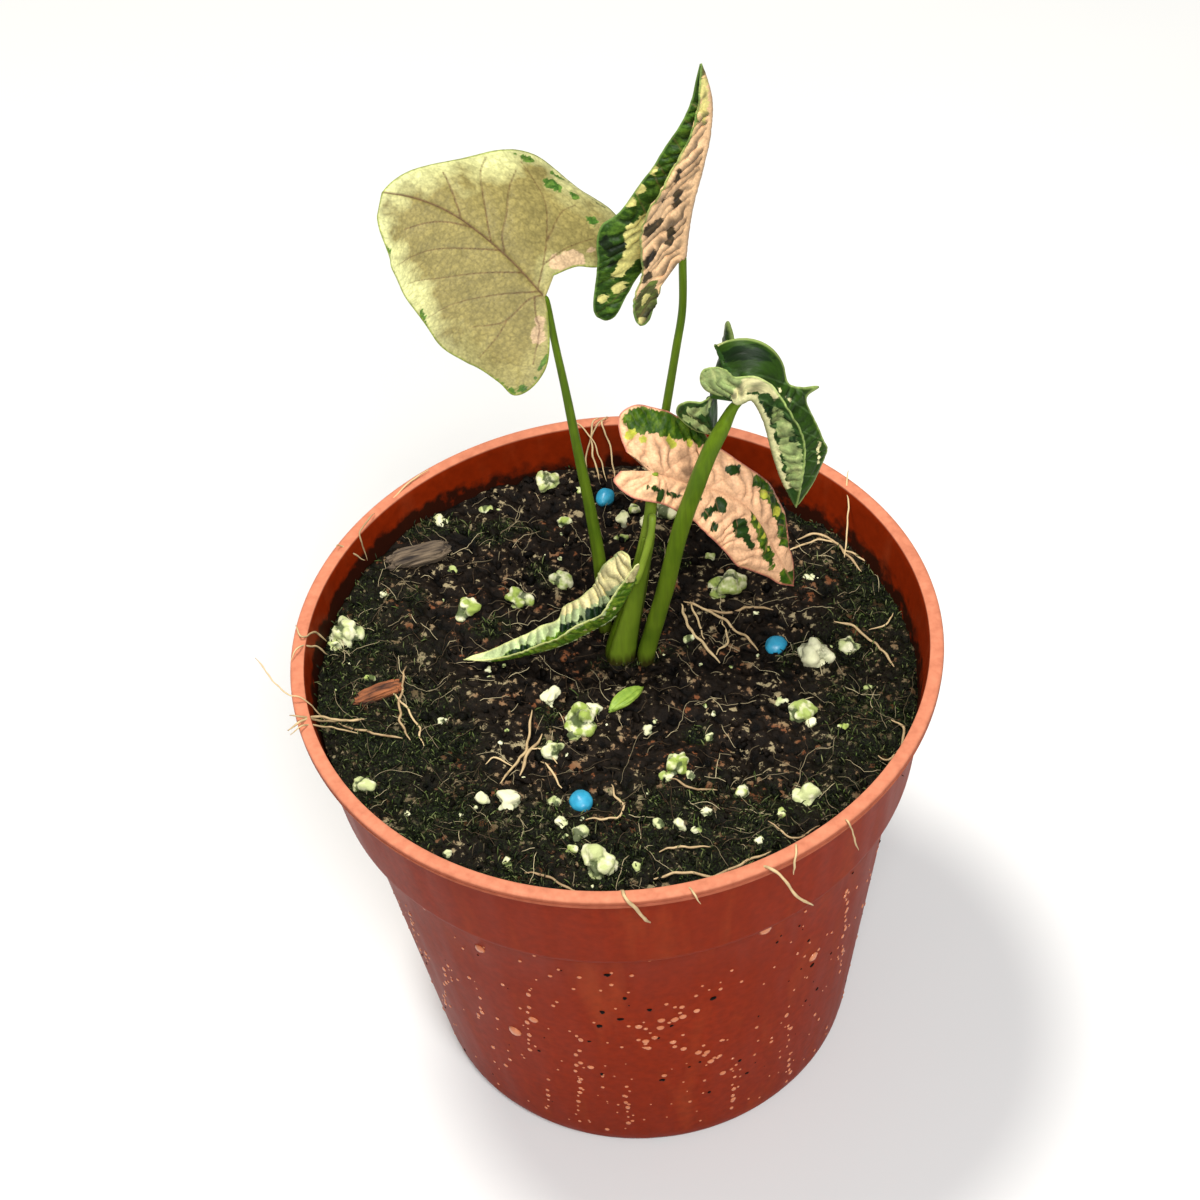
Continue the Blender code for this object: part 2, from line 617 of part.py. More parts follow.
def make_tube(name, points, colour, sides=2, steps=STALK_STEPS):
    """A round tube through points that hold x, y, z and a radius."""
    curve = bpy.data.curves.new(name, "CURVE")
    curve.dimensions = "3D"
    curve.bevel_depth = MM
    curve.bevel_resolution = sides
    curve.use_fill_caps = True
    smooth = smooth_line(points, steps)
    spline = curve.splines.new("POLY")
    spline.points.add(len(smooth) - 1)
    for target, (x, y, z, radius) in zip(spline.points, smooth):
        target.co = (x * MM, y * MM, z * MM, 1)
        target.radius = radius
    return add_object(name, curve, colour)


def mesh_copy(obj, name, colour):
    """A mesh object with the shape of a curve object, which is then removed."""
    graph = bpy.context.evaluated_depsgraph_get()
    mesh = bpy.data.meshes.new_from_object(obj.evaluated_get(graph))
    mesh.materials.clear()
    bpy.data.objects.remove(obj, do_unlink=True)
    return add_object(name, mesh, colour)


def make_petioles():
    for name in ("pale", "upright", "nodding"):
        make_tube(f"petiole_{name}", PETIOLES[name], "green stalk")
    stalk = make_tube("stalk", PETIOLES["pink"], "green stalk")
    branch = make_tube("branch", PETIOLES["young"], "green stalk")
    fused = mesh_copy(stalk, "petiole_pink_and_young", "green stalk")
    boolean(fused, mesh_copy(branch, "young_petiole_branch", "green stalk"), "UNION")


def make_crown(name, extra):
    """The crown, or with some extra all round, the bore that it stands in."""
    low = [(radius + extra if radius else 0, height - extra) for radius, height in CROWN_PROFILE[:-1]]
    rim = CROWN_PROFILE[-1][0] + extra
    bm = bmesh.new()
    turned(bm, low + [(rim, CROWN_TOP + extra), (0, CROWN_TOP + extra)], CROWN_SEGMENTS, CROWN_PLACE)
    return object_from_bmesh(name, bm, "green stalk")


def bore_soil(soil):
    """Plain holes in the soil for the crown and the petioles."""
    boolean(soil, make_crown("crown_bore", GAP), "DIFFERENCE")
    for name in ("pale", "upright", "nodding", "pink"):
        (x, y, _, radius), *above = PETIOLES[name]
        path = [(x, y, CROWN_TOP - GAP, radius), *above]
        bore = make_tube("bore", [(*place, width + GAP) for *place, width in path], "peat")
        boolean(soil, mesh_copy(bore, f"petiole_bore_{name}", "peat"), "DIFFERENCE")


def lump(name, place, size, seed, uneven, colour):
    """A rounded uneven lump, wider than it is high."""
    draw = random.Random(seed)
    bm = bmesh.new()
    made = bmesh.ops.create_icosphere(bm, subdivisions=2, radius=1.0)["verts"]
    offset = Vector((draw.uniform(0, 50), draw.uniform(0, 50), draw.uniform(0, 50)))
    for vert in made:
        vert.co *= 1 + uneven * noise.noise(vert.co * 1.3 + offset)
    stretch = Matrix.Diagonal((1, draw.uniform(0.75, 0.95), draw.uniform(0.7, 0.85), 1))
    turn = Matrix.Rotation(draw.uniform(0, math.pi), 4, "Z")
    grow = Matrix.Scale(size / 2, 4)
    bmesh.ops.transform(bm, matrix=Matrix.Translation(place) @ turn @ stretch @ grow, verts=made)
    return object_from_bmesh(name, bm, colour)


def seat_lumps(soil, name, places, kind, colour):
    """Makes each lump and cuts its seat, a little larger, in the soil."""
    uneven, lift = kind
    for i, (x, y, size) in enumerate(places):
        place = (x, y, soil_height(x, y) + lift * size)
        lump(f"{name}_{i + 1}", place, size, SEED + i, uneven, colour)
        seat = lump(f"{name}_seat_{i + 1}", place, size + SEAT_CLEARANCE, SEED + i, uneven, "peat")
        boolean(soil, seat, "DIFFERENCE")


def chip(name, place, size, turn, seed, colour):
    """A flat split chip with blunt corners and uneven edges."""
    draw = random.Random(seed)
    bm = bmesh.new()
    made = bmesh.ops.create_icosphere(bm, subdivisions=2, radius=1.0)["verts"]
    for vert in made:
        x, y = [math.copysign(abs(v) ** CHIP_SQUARENESS, v) for v in vert.co[:2]]
        vert.co = Vector((x, y, vert.co.z)) * draw.uniform(0.9, 1.05)
    stretch = Matrix.Diagonal((*[side / 2 for side in size], 1))
    spin = Matrix.Rotation(math.radians(turn), 4, "Z")
    bmesh.ops.transform(bm, matrix=Matrix.Translation(place) @ spin @ stretch, verts=made)
    return object_from_bmesh(name, bm, colour)


def seat_chips(soil):
    """Makes each chip and cuts its seat in the soil."""
    for i, (name, (x, y, *size, turn)) in enumerate(CHIPS.items()):
        place = (x, y, soil_height(x, y) + size[2] * CHIP_LIFT)
        colour = "leaf scrap" if name == "leaf_scrap" else "bark"
        chip(name, place, size, turn, SEED + i, colour)
        seat = chip(f"{name}_seat", place, [side + SEAT_CLEARANCE for side in size], turn, SEED + i, "peat")
        boolean(soil, seat, "DIFFERENCE")


def make_roots(points, faces):
    """Loose roots that follow the soil's surface just above it."""
    surface = BVHTree.FromPolygons([Vector(point) for point in points], faces)
    down = Vector((0, 0, -1))
    above = 2 * POT_HEIGHT
    for i, route in enumerate(ROOTS):
        line = smooth_line(route)
        path = []
        for x, y in along(line, np.arange(0, reach_of(line)[-1], ROOT_STEP)):
            near = [(x, y), (x + 1, y), (x - 1, y), (x, y + 1), (x, y - 1)]
            hits = [surface.ray_cast(Vector((*spot, above)), down)[0] for spot in near]
            height = max(hit.z for hit in hits if hit)
            path.append((x, y, height + ROOT_RADIUS + GAP, ROOT_RADIUS))
        make_tube(f"root_{i + 1}", path, "root", sides=1, steps=1)


def main():
    clear_scene()
    make_pot()
    points, faces = soil_top()
    soil = make_soil(points, faces)
    make_crown("crown", 0)
    make_petioles()
    bore_soil(soil)
    for name, leaf in LEAVES.items():
        make_blade(f"blade_{name}", leaf, BLADE_COLOURS[name])
    seat_lumps(soil, "fertiliser_pellet", PELLETS, PELLET_LUMP, "blue pellet")
    seat_lumps(soil, "perlite", PERLITE, PERLITE_LUMP, "perlite")
    seat_chips(soil)
    make_roots(points, faces)


main()
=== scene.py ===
import math
import random
from functools import partial

import bmesh
import bpy
import numpy as np
from mathutils import Matrix, Vector, geometry, noise


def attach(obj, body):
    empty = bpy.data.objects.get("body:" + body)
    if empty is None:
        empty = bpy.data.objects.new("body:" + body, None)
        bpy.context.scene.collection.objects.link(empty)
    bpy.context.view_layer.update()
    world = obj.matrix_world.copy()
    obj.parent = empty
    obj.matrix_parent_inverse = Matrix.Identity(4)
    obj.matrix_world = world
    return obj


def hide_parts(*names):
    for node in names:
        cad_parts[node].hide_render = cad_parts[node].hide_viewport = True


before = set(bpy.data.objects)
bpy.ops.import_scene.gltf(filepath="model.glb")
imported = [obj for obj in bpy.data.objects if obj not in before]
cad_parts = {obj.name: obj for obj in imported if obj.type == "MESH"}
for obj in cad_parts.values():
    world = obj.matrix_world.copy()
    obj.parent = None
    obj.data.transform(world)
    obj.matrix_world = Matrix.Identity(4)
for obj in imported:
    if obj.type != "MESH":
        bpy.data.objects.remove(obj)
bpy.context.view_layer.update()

# An arrowhead plant in a nursery pot. Lengths are in millimetres until a mesh is made.

bl_info = {
    "name": "Potted arrowhead plant",
    "version": (1, 0, 0),
    "blender": (4, 5, 0),
    "location": "3D View > Sidebar > Arrowhead plant",
    "description": "Finer leaves, stalks, soil and pot around the packed model of a potted plant",
    "category": "Object",
}

MM = 0.001
BODY = "root"

# Pot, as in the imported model
POT_HEIGHT = 104.0
RIM_RADIUS = 60.0
RIM_WIDTH = 2.6
LIP_DROP = 2.2
COLLAR_RADIUS = 55.2
COLLAR_DEPTH = 25.0
BODY_TOP_RADIUS = 52.6
BASE_RADIUS = 42.6
WALL = 1.3
CORNER = 4.0
STANDING_RING = (36.0, 40.0)
BASE_RISE = 2.0
CENTRE_HOLE_RADIUS = 4.5
DRAIN_HOLES = 8
DRAIN_HOLE_RADIUS = 4.5
DRAIN_CIRCLE_RADIUS = 26.0
RING_NOTCHES = 4
NOTCH_SIZE = (8.0, 4.0, 1.2)
GAP = 0.3
HOLE_SIDES = 40
CUTTER_DEPTH = 12.0
SHARP_ANGLE = 38

# Soil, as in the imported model: swells and crumbs each have a width, a height and a noise layer.
# Only the finer model has the grains, which stand as domes with pits between them.
SOIL_LEVEL = 93.5
SOIL_SLOPE = 0.05
SOIL_FORMS = ((24.0, 1.3, 3.1), (7.5, 1.1, 8.4))
SOIL_GRAINS = ((2.7, 1.25, 12.3), (1.25, 0.6, 17.9))
SOIL_GRIT = (0.7, 0.16, 23.7)
GOLDEN_ANGLE = math.pi * (3 - math.sqrt(5))

# How far out from the middle the soil and what is strewn on it reach
SOIL_REACH = 57
CRUMB_REACH = 55.6
FIBRE_REACH = 54.5
MOSS_REACH = 56
GRIT_REACH = 54

# Crumbs: how many shapes of each fineness, their width before they are scaled, the draw of their
# widths and the largest width. Fibres: the length of a step and the least and largest radius.
CRUMB_SHAPES = 9
SHAPE_WIDTH = 1.6
CRUMB_WIDTHS = (2.6, 0.16)
LEAST_CRUMB = 0.3
LARGEST_CRUMB = 1.8
FIBRE_STEP = 0.8
FIBRE_RADII = (0.045, 0.09)

# Mossy edges of the soil, at the left, right and front: weights of x and y, and the limits between
# bare and mossy
MOSS_EDGES = ((-1, -0.35, 24, 44), (1, -0.1, 30, 48), (0, -1, 18, 42))

# Leaves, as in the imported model, but for the young leaf's left margin, which is narrower, and the
# spike at the nodding leaf's left margin, which is longer. Each is a midrib in space, from the
# petiole's end to the tip, and two halves. A half has the direction that it spreads in, from base
# to tip, the direction of its lobe behind the petiole, how much it curls in radians per millimetre,
# where it does, and its margin from the tip round to the notch, as distances along the midrib and
# out from it. A lobe that rolls over also has the directions that it spreads in behind the petiole.
# The ruffle is the height of the waves at the margin and how many waves a half has.
LEAVES = {
    "pale": {
        "midrib": [(-6.8, 20, 170.3), (-12, 26, 174), (-17.5, 31, 177.2), (-22.5, 34.3, 179.6),
            (-28, 36.6, 181.2), (-33.2, 37.8, 182)],
        "right": {
            "side": [(0.6, 0.7, 0.37), (0.6, 0.7, 0.37)], "lobe": (0.75, -0.6, -0.34), "curl": -0.028,
            "margin": [(33.2, 2.5), (29.2, 6.5), (25, 10.8), (21.8, 15.5), (19.5, 18.5), (17, 20.2),
                (11, 21.2), (6.2, 22.2), (2.4, 20.4), (-1.4, 15.6), (-1.5, 11.2), (0.8, 8.2), (2, 3.8)],
        },
        "left": {
            "side": [(-0.6, -0.7, -0.37), (-0.6, -0.7, -0.37)], "lobe": (0.75, -0.6, -0.34),
            "curl": -0.012,
            "margin": [(34.8, 5), (31.8, 10.8), (27, 14.4), (21.8, 16.4), (12.2, 18.2), (5, 19),
                (-1, 17.2), (-6.2, 17), (-9.8, 17.3), (-11, 14.5), (-10, 10.2), (-7, 6.2), (-2.6, 2)],
        },
        "ruffle": (0.7, 3),
    },
    "upright": {
        "midrib": [(17.3, 24, 173), (18.2, 24.5, 178.8), (19.3, 25, 184), (21, 26, 189.4),
            (22.8, 27, 196.4), (23.4, 28, 202.8), (22.2, 29, 209.3)],
        "right": {
            "side": [(-0.75, -0.6, -0.3), (-0.7, -0.7, -0.1), (-0.7, -0.7, 0)],
            "lobe": (-0.35, -0.45, -0.9),
            "margin": [(31, 3), (26, 4.8), (22, 6.7), (18.5, 10), (14, 11.7), (9, 11.7), (4.5, 10.9),
                (0, 10), (-4.5, 9.7), (-8, 8.4), (-10.2, 6.2), (-8.8, 4.2), (-4, 3.6)],
        },
        "left": {
            "side": [(-0.95, -0.08, -0.2), (-0.95, 0.1, -0.2)], "lobe": (-0.4, -0.2, -0.9),
            "margin": [(33.2, 2.2), (26.2, 4.5), (19.8, 6.8), (13.8, 8.8), (8, 11.8), (5.5, 14.6),
                (1.5, 15), (-4.5, 13.5), (-10.8, 11.8), (-12.6, 9.6), (-12, 7.8), (-8.5, 7.2),
                (-3.5, 6.2), (-1, 4.5)],
        },
        "ruffle": (0.5, 4),
    },
    "nodding": {
        "midrib": [(24.2, 5, 155.8), (27.2, 5.5, 156.1), (29.2, 4.5, 151.8), (30.2, 3, 146.5),
            (31.5, 1.5, 140.7), (33.9, 0.5, 133.5)],
        "right": {
            "side": [(0.1, 0, 0.95), (0.7, -0.5, 0.2), (0.7, -0.7, 0.1)],
            "lobe": (-0.95, 0.1, 0.3),
            "margin": [(24.4, 2), (18.2, 5.4), (11.6, 6.6), (6.4, 5.8), (3.6, 4.8), (2.4, 5.2), (1.4, 6),
                (0.2, 7.8), (-1.8, 8.2), (-4.2, 7), (-5.4, 4), (-5, 1.4), (-2.5, 0.8)],
        },
        "left": {
            "side": [(0.25, 0.8, 0.4), (0.8, 0.5, 0.3), (0.8, 0.6, 0.2)],
            "lobe": (-0.9, 0.35, -0.1), "behind": [(0.1, 0.9, 0), (0.3, 0, -0.95)],
            "margin": [(25.8, 4.6), (23.6, 7.4), (20.8, 9.6), (17.2, 9.4), (12.4, 9), (9.2, 9),
                (8.8, 12.2), (7.6, 9), (5.8, 7), (4, 8.4), (2.6, 10.2), (0.8, 11.4), (-1, 11),
                (-2.4, 17.6), (-3.4, 10.4), (-4.6, 8.4), (-8, 9.8), (-11.2, 8.6), (-12.4, 4.5),
                (-10, 1.4), (-5, 0.9)],
        },
        "ruffle": (0.5, 3),
    },
    "pink": {
        "midrib": [(9.3, 9, 137), (12.6, 9.5, 134.6), (16.3, 9.5, 132.4), (21, 9.2, 130.3),
            (25.9, 8, 126.8), (29, 6.5, 121), (31.2, 4.5, 115.8), (33.4, 2.5, 111)],
        "right": {
            "side": [(-0.35, -0.85, -0.2), (-0.5, -0.7, -0.3), (-0.6, -0.6, -0.3)],
            "lobe": (-0.9, 0, 0.3), "curl": -0.03,
            "margin": [(35.8, 2.4), (33.2, 3.8), (29.5, 6.8), (26.5, 8.3), (18.5, 8.8), (12, 7.8),
                (9.5, 6.4), (6.8, 5.7), (3.2, 5.3), (-0.5, 5.6), (-4, 5), (-7, 2.8), (-6, 0.8)],
        },
        "left": {
            "side": [(0.15, 0.6, 0.6), (0.3, 0.75, 0.45)], "lobe": (-0.9, 0.1, 0.1),
            "margin": [(34.2, 2.5), (31, 3.4), (28.2, 5.2), (25.5, 6.4), (21.5, 6.3), (17, 6.2),
                (12.8, 7.2), (7.2, 9.8), (2.5, 10.8), (-2.8, 11.7), (-5.5, 12), (-7.7, 10.8), (-8.3, 9),
                (-7.2, 6), (-5.5, 3.3)],
        },
        "ruffle": (0.4, 4),
    },
    "young": {
        "midrib": [(4.8, 1.6, 117.2), (0.7, 0.2, 110.4), (-3.6, 0, 107), (-9.3, 0.6, 103.1),
            (-16, 2.2, 99.4), (-22.6, 3.8, 96.6), (-28.6, 5, 96.4)],
        "right": {
            "side": [(-0.25, -0.35, 0.9), (-0.25, -0.3, 0.9)], "lobe": (0.3, -0.2, 0.9),
            "margin": [(36, 1.4), (31, 2), (26.8, 2.6), (16.8, 4.4), (12.6, 4.4), (7.6, 4.8), (1, 4.4),
                (-3.4, 3.6), (-6.4, 2.4), (-5, 1.4), (-2, 1.2)],
        },
        "left": {
            "side": [(-0.45, 0.8, 0.3), (-0.45, 0.8, 0.3)], "lobe": (0.1, 0.3, 0.9),
            "margin": [(39.6, 1.4), (34.2, 3), (27.4, 4.2), (24.6, 4.8), (20.8, 4.8), (18.4, 6.8),
                (13.8, 6.6), (11.2, 7.2), (4, 7.8), (0, 6.8), (-2.8, 4.6), (-3.2, 2.4), (-1.4, 1.4)],
        },
        "ruffle": (0.4, 5),
    },
}
# The young leaf is folded so that the formula's upper side is its underside
SEEN_FROM_UNDER = ("young",)
RUFFLE_DEPTH = 7.0
SLOPE_STEP = 0.05
LOBE_TURN = 7.0
TANGENT_REACH = 0.8
EDGE_CLEARANCE = 0.55

# Side veins of the pale leaf, listed along the midrib and out from it. The other leaves' veins
# follow a rule, with this many on each half.
SIDE_VEINS = 6
VEINS = {
    "pale": {
        1: [[(13.8, 0.3), (16.2, 2.2), (19.8, 6), (22, 9.6), (22.6, 13)],
            [(10.6, 0.3), (13, 2.2), (14.8, 5.4), (17.4, 9.8), (18.6, 14)],
            [(20.4, 0.3), (23, 2.6), (26.4, 6.2)],
            [(1.8, 0), (8.4, 8.2), (12.2, 12.4), (15.8, 14.6), (19, 16)],
            [(7.4, 7.2), (9.4, 12.8), (9.2, 16.6)], [(4.6, 3.8), (4.6, 9), (3.4, 14.6)]],
        -1: [[(17.4, 0), (23.2, 2.4), (29, 6)], [(11.2, 0), (17.4, 4.6), (24.6, 9.6), (27.4, 12)],
            [(5.6, 0), (11.2, 5.6), (16.6, 10.8), (22.4, 14.6)],
            [(1.2, 0), (6, 6.4), (10.4, 12.4), (12.4, 17)],
            [(0.6, 0.4), (1.4, 2.6), (1.2, 8.2), (4, 12.8)], [(1.2, 7.2), (0, 10.8), (-0.6, 15.6)],
            [(1, 1.4), (-2, 4), (-4, 5.4), (-8, 11)]],
    },
}

# Patches of colour on the leaves. Each is a hand (1 right, -1 left), a half width and the line that
# it follows, along the midrib and out from it. Green lies over the leaf's own colour, cream over
# green, and dark over cream.
PATCHES = {
    "pale": {
        "green": [(1, 1.2, [(13.8, 16.6)]), (1, 0.6, [(10.4, 18.2)]), (1, 0.8, [(6, 16.8)]),
            (1, 0.5, [(19.6, 16.6), (18.2, 17.8)]), (1, 0.4, [(15, 19), (12.4, 20.2)]),
            (-1, 0.45, [(14.6, 17.2), (11, 18.4)]), (-1, 0.4, [(-6, 17), (-9.2, 16.8)]),
            (-1, 0.8, [(-10.2, 15.4)]), (-1, 0.4, [(-8.8, 8.4), (-10, 12.6)]),
            (-1, 0.3, [(32, 10.2), (31, 11.2)])],
        "cream": [(1, 1.6, [(2.4, 9), (3.2, 6.2)]), (1, 0.8, [(2, 12.2)]), (-1, 1, [(-3, 4), (-5, 7)])],
        "dark": [(1, 0.35, [(8.4, 20.8), (6.6, 21.6)])],
    },
    "upright": {
        "green": [(-1, 40, [(0, 0), (30, 0)]),
            (1, 1.4, [(37.5, 0.6), (33.2, 3.4), (29.6, 5), (25, 6.4)]), (1, 2.6, [(-5.2, 7), (-8.8, 6)])],
        "cream": [(-1, 0.9, [(16, 8)]), (-1, 0.9, [(12.2, 9)]), (-1, 0.9, [(10, 10.2)]),
            (-1, 1.6, [(6.8, 7.2), (5, 9), (1, 8.6)]), (-1, 1.3, [(1, 9), (-3, 10)]),
            (-1, 1.1, [(-5.8, 8.8)]), (-1, 0.8, [(-8.4, 11)]), (1, 0.8, [(34, 1), (28, 1.6)]),
            (1, 0.7, [(-5.2, 7)]), (1, 0.7, [(-8.8, 6.6)]), (1, 1, [(30.2, 2.4)])],
        "dark": [(1, 1.1, [(18.4, 7)]), (1, 1.1, [(12.2, 4.2), (13.8, 4.6)]), (1, 0.7, [(13.6, 9)]),
            (1, 1.3, [(9.6, 8.4), (9.4, 10)]), (1, 1, [(5.6, 4.2), (7.6, 4.2)]),
            (1, 1.3, [(3.8, 8.6), (3.4, 9.6)]), (1, 1, [(-0.6, 8.4)]),
            (-1, 0.9, [(2.4, 11), (1.6, 12.4), (3.2, 13.6)]), (-1, 0.8, [(-1, 12)])],
    },
    "nodding": {
        "green": [(1, 1.9, [(8, 2.8), (15.4, 3.6), (21, 2.8)]), (1, 3, [(-1, 5), (-3.6, 3.6)]),
            (-1, 0.9, [(-8.6, 8.4), (-11, 6)]), (-1, 0.9, [(-9, 3.8), (-6, 3)])],
        "cream": [(1, 0.9, [(2, 0), (10, 0.2), (22, 0)]), (1, 1.2, [(0.5, 1), (2.4, 2.8), (3, 4.4)]),
            (-1, 0.1, [(3.4, 4.4), (5.6, 4.6), (8.2, 5.6)]), (-1, 0.1, [(1.8, 11)]),
            (-1, 0.15, [(17, 8.4), (22.2, 7)]), (-1, 0.3, [(-6.4, 9.2)])],
        "dark": [(1, 0.7, [(11.8, 4.4)]), (1, 0.6, [(6.2, 1.8)]), (1, 0.35, [(4, 0.6), (9, 1.2)]),
            (-1, 1, [(2.2, 8), (2.8, 7.2)])],
    },
    "pink": {
        "green": [(-1, 2.3, [(-4.8, 9.2), (-1.4, 8.8), (3.4, 8.8)]), (-1, 1.5, [(3.4, 8.8), (7.2, 8.6)]),
            (-1, 0.8, [(7.2, 8.6), (10.6, 8)]),
            (-1, 1.2, [(18.8, 4.8), (22.4, 5), (26.8, 4.2), (30, 2.8)]),
            (1, 1, [(21.4, 0), (24.8, 0.8), (28.4, 1.6), (31.2, 2)]), (1, 1.8, [(36, 0.4), (39, 0)]),
            (-1, 1.6, [(36, 0.4), (39, 0)])],
        "cream": [(-1, 0.9, [(-5.6, 6.6)]), (-1, 0.8, [(-3, 5.6)]), (-1, 0.8, [(1.4, 6.2), (2.4, 5.8)]),
            (-1, 0.7, [(5.4, 6.8)]), (-1, 0.6, [(9, 7)]), (1, 0.3, [(22, 0.2)]), (1, 0.3, [(23.8, 0.4)]),
            (1, 0.3, [(26.2, 0.9)]), (1, 0.3, [(28.8, 1.4)]), (-1, 0.5, [(20.6, 4.4)]),
            (-1, 0.5, [(24.6, 4.2)])],
        "dark": [(1, 1.5, [(14.2, 2.6)]), (1, 0.8, [(14.2, 2.8), (11.4, 5)]), (1, 0.7, [(14.6, 6.4)]),
            (1, 1.3, [(20, 3.6), (21.4, 4)]), (1, 0.65, [(21, 4), (25.8, 4)]),
            (-1, 0.8, [(14.2, 4.4), (14.8, 5)]), (-1, 0.5, [(18.8, 4.4)]), (-1, 0.5, [(22.4, 5)]),
            (-1, 0.4, [(26.8, 3.8)]), (-1, 0.35, [(28.6, 2.8)]),
            (1, 0.25, [(-0.6, 3.2), (5.2, 3), (10, 2.4)]), (1, 0.6, [(2, 3.4), (1.6, 5)])],
    },
    "young": {
        "green": [(1, 2.2, [(0, 2), (12, 2.2), (26, 1.4), (34, 0.6)]),
            (-1, 0.8, [(16, 2), (26, 1.2), (34, 0.8)])],
        "cream": [(-1, 2.4, [(-4, 1.2), (0, 4), (4, 5.4)]), (-1, 1.7, [(4, 5.6), (9, 6), (12.6, 5.8)]),
            (-1, 1.1, [(15.4, 6.4), (18.2, 6)]), (1, 1.6, [(-6, 2.4), (-2, 2.6)]), (1, 0.3, [(6, 2.6)]),
            (1, 0.3, [(9.4, 3)]), (1, 0.3, [(14, 2.4)])],
        # The young leaf's dark patches along its fold are painted shade in the fold
        "dark": [(-1, 1.3, [(6.4, 2), (10, 2.2), (13, 2.8)]), (-1, 0.5, [(15, 3), (20, 3)]),
            (-1, 0.4, [(26, 1.6), (34, 1)])],
    },
}

# Stalks as points up from the crown, with the radius at each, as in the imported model
PETIOLES = {
    "pale": [(-1.6, 10.8, 88.3, 1.7), (-1.6, 10.8, 93, 1.7), (-1.5, 10.9, 104, 1.65),
        (-1.6, 11.3, 114, 1.55), (-2.4, 12.4, 126, 1.35), (-3.6, 14, 139, 1.15), (-4.8, 16.2, 152, 0.95),
        (-5.8, 18.2, 161, 0.85), (-6.5, 19.6, 168.8, 0.8), (-6.9, 20.1, 170.2, 0.7)],
    "upright": [(3.2, 10.6, 88.3, 1.5), (3.2, 10.6, 93, 1.5), (5.2, 11.2, 103, 1.4), (7, 12.6, 112, 1.3),
        (9, 15.2, 124, 1.15), (10.9, 18, 133.6, 1), (12.7, 20, 141.4, 0.9), (15.2, 22, 153.6, 0.85),
        (16.8, 23.2, 162, 0.8), (17.3, 23.9, 171.6, 0.8), (17.4, 24.1, 173.4, 0.6)],
    "nodding": [(5.4, 3.6, 88.3, 2.2), (5.4, 3.6, 94, 2.2), (7.2, 3.1, 102.3, 2.1),
        (9.8, 2.4, 113.1, 2.05), (13.2, 1.8, 128.8, 2), (16, 1.6, 138.4, 2), (18.9, 2.3, 146.4, 1.9),
        (21.5, 3.5, 151.1, 1.7), (23.5, 4.8, 154.3, 1.2), (25, 5.2, 155.8, 0.8)],
    "pink": [(0, 5.2, 88.3, 2.9), (0, 5.2, 93, 2.9), (1.4, 5.2, 100, 2.5), (3, 5.4, 106, 2),
        (5, 5.9, 114, 1.6), (7, 6.6, 122, 1.4), (8.4, 7.6, 129.5, 1.2), (9, 8.5, 135, 1.1),
        (9.6, 9, 136.8, 0.8)],
    "young": [(7.2, 7.2, 122, 0.9), (8.3, 6.6, 127.2, 0.8), (8.5, 5.2, 129.4, 0.75),
        (8.1, 3.9, 127.4, 0.7), (7.3, 3.2, 124.4, 0.7), (6.3, 2.55, 121.4, 0.65),
        (5.35, 1.9, 118.6, 0.6), (4.6, 1.5, 116.8, 0.5)],
}

# The furrow along a stalk and its three faint ribs, as shares of the radius and a width in radians
FURROW_DEPTH = 0.12
FURROW_WIDTH = 0.35
RIB_HEIGHT = 0.02

# Peat on the stalks reaches this high and fades over this many millimetres
FOOT_SOIL_TOP = 98.5
FOOT_SOIL_DEPTH = 5

# The sheath's top, how many points run across it and its thickness
SHEATH_TOP = 124
SHEATH_STEPS = 9
SHEATH_THICKNESS = 0.22

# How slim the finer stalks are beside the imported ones
SLIMNESS = {"pale": 0.78, "upright": 0.88, "nodding": 0.8, "pink": 0.85, "young": 0.95}

# Loose pieces on the soil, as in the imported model: a place across the pot and a size
PELLETS = [(0.7, 46.6, 4.6), (30, 5.2, 4.4), (-8.8, -29.6, 4.6)]
PERLITE = [
    (-10.5, 52, 5), (-27.5, 18.5, 5), (-17.5, 21.3, 5), (-9.5, 25.5, 4.2), (-50.5, 15, 6.6),
    (-13, -4.2, 4.2), (-7.6, -10.6, 6.4), (-13.2, -17, 3.8), (22.5, 20.5, 6.6), (37, 2, 7),
    (43.6, 3.8, 4), (12.4, 41.5, 6.2), (-21.5, -29, 5), (-6.7, -43.4, 6.4), (-47.5, -23, 4.2),
    (31.5, -31, 4.6), (9, -23.5, 4.8), (33, -12, 5),
]
LUMP_SEED = 7
PELLET_LUMP = (0.1, 0.2)
PERLITE_LUMP = (0.45, 0.14)
PERLITE_FROTH = ((0.35, 0.08), (0.14, 0.05))
CLEAN_PERLITE = (5, 9, 12)

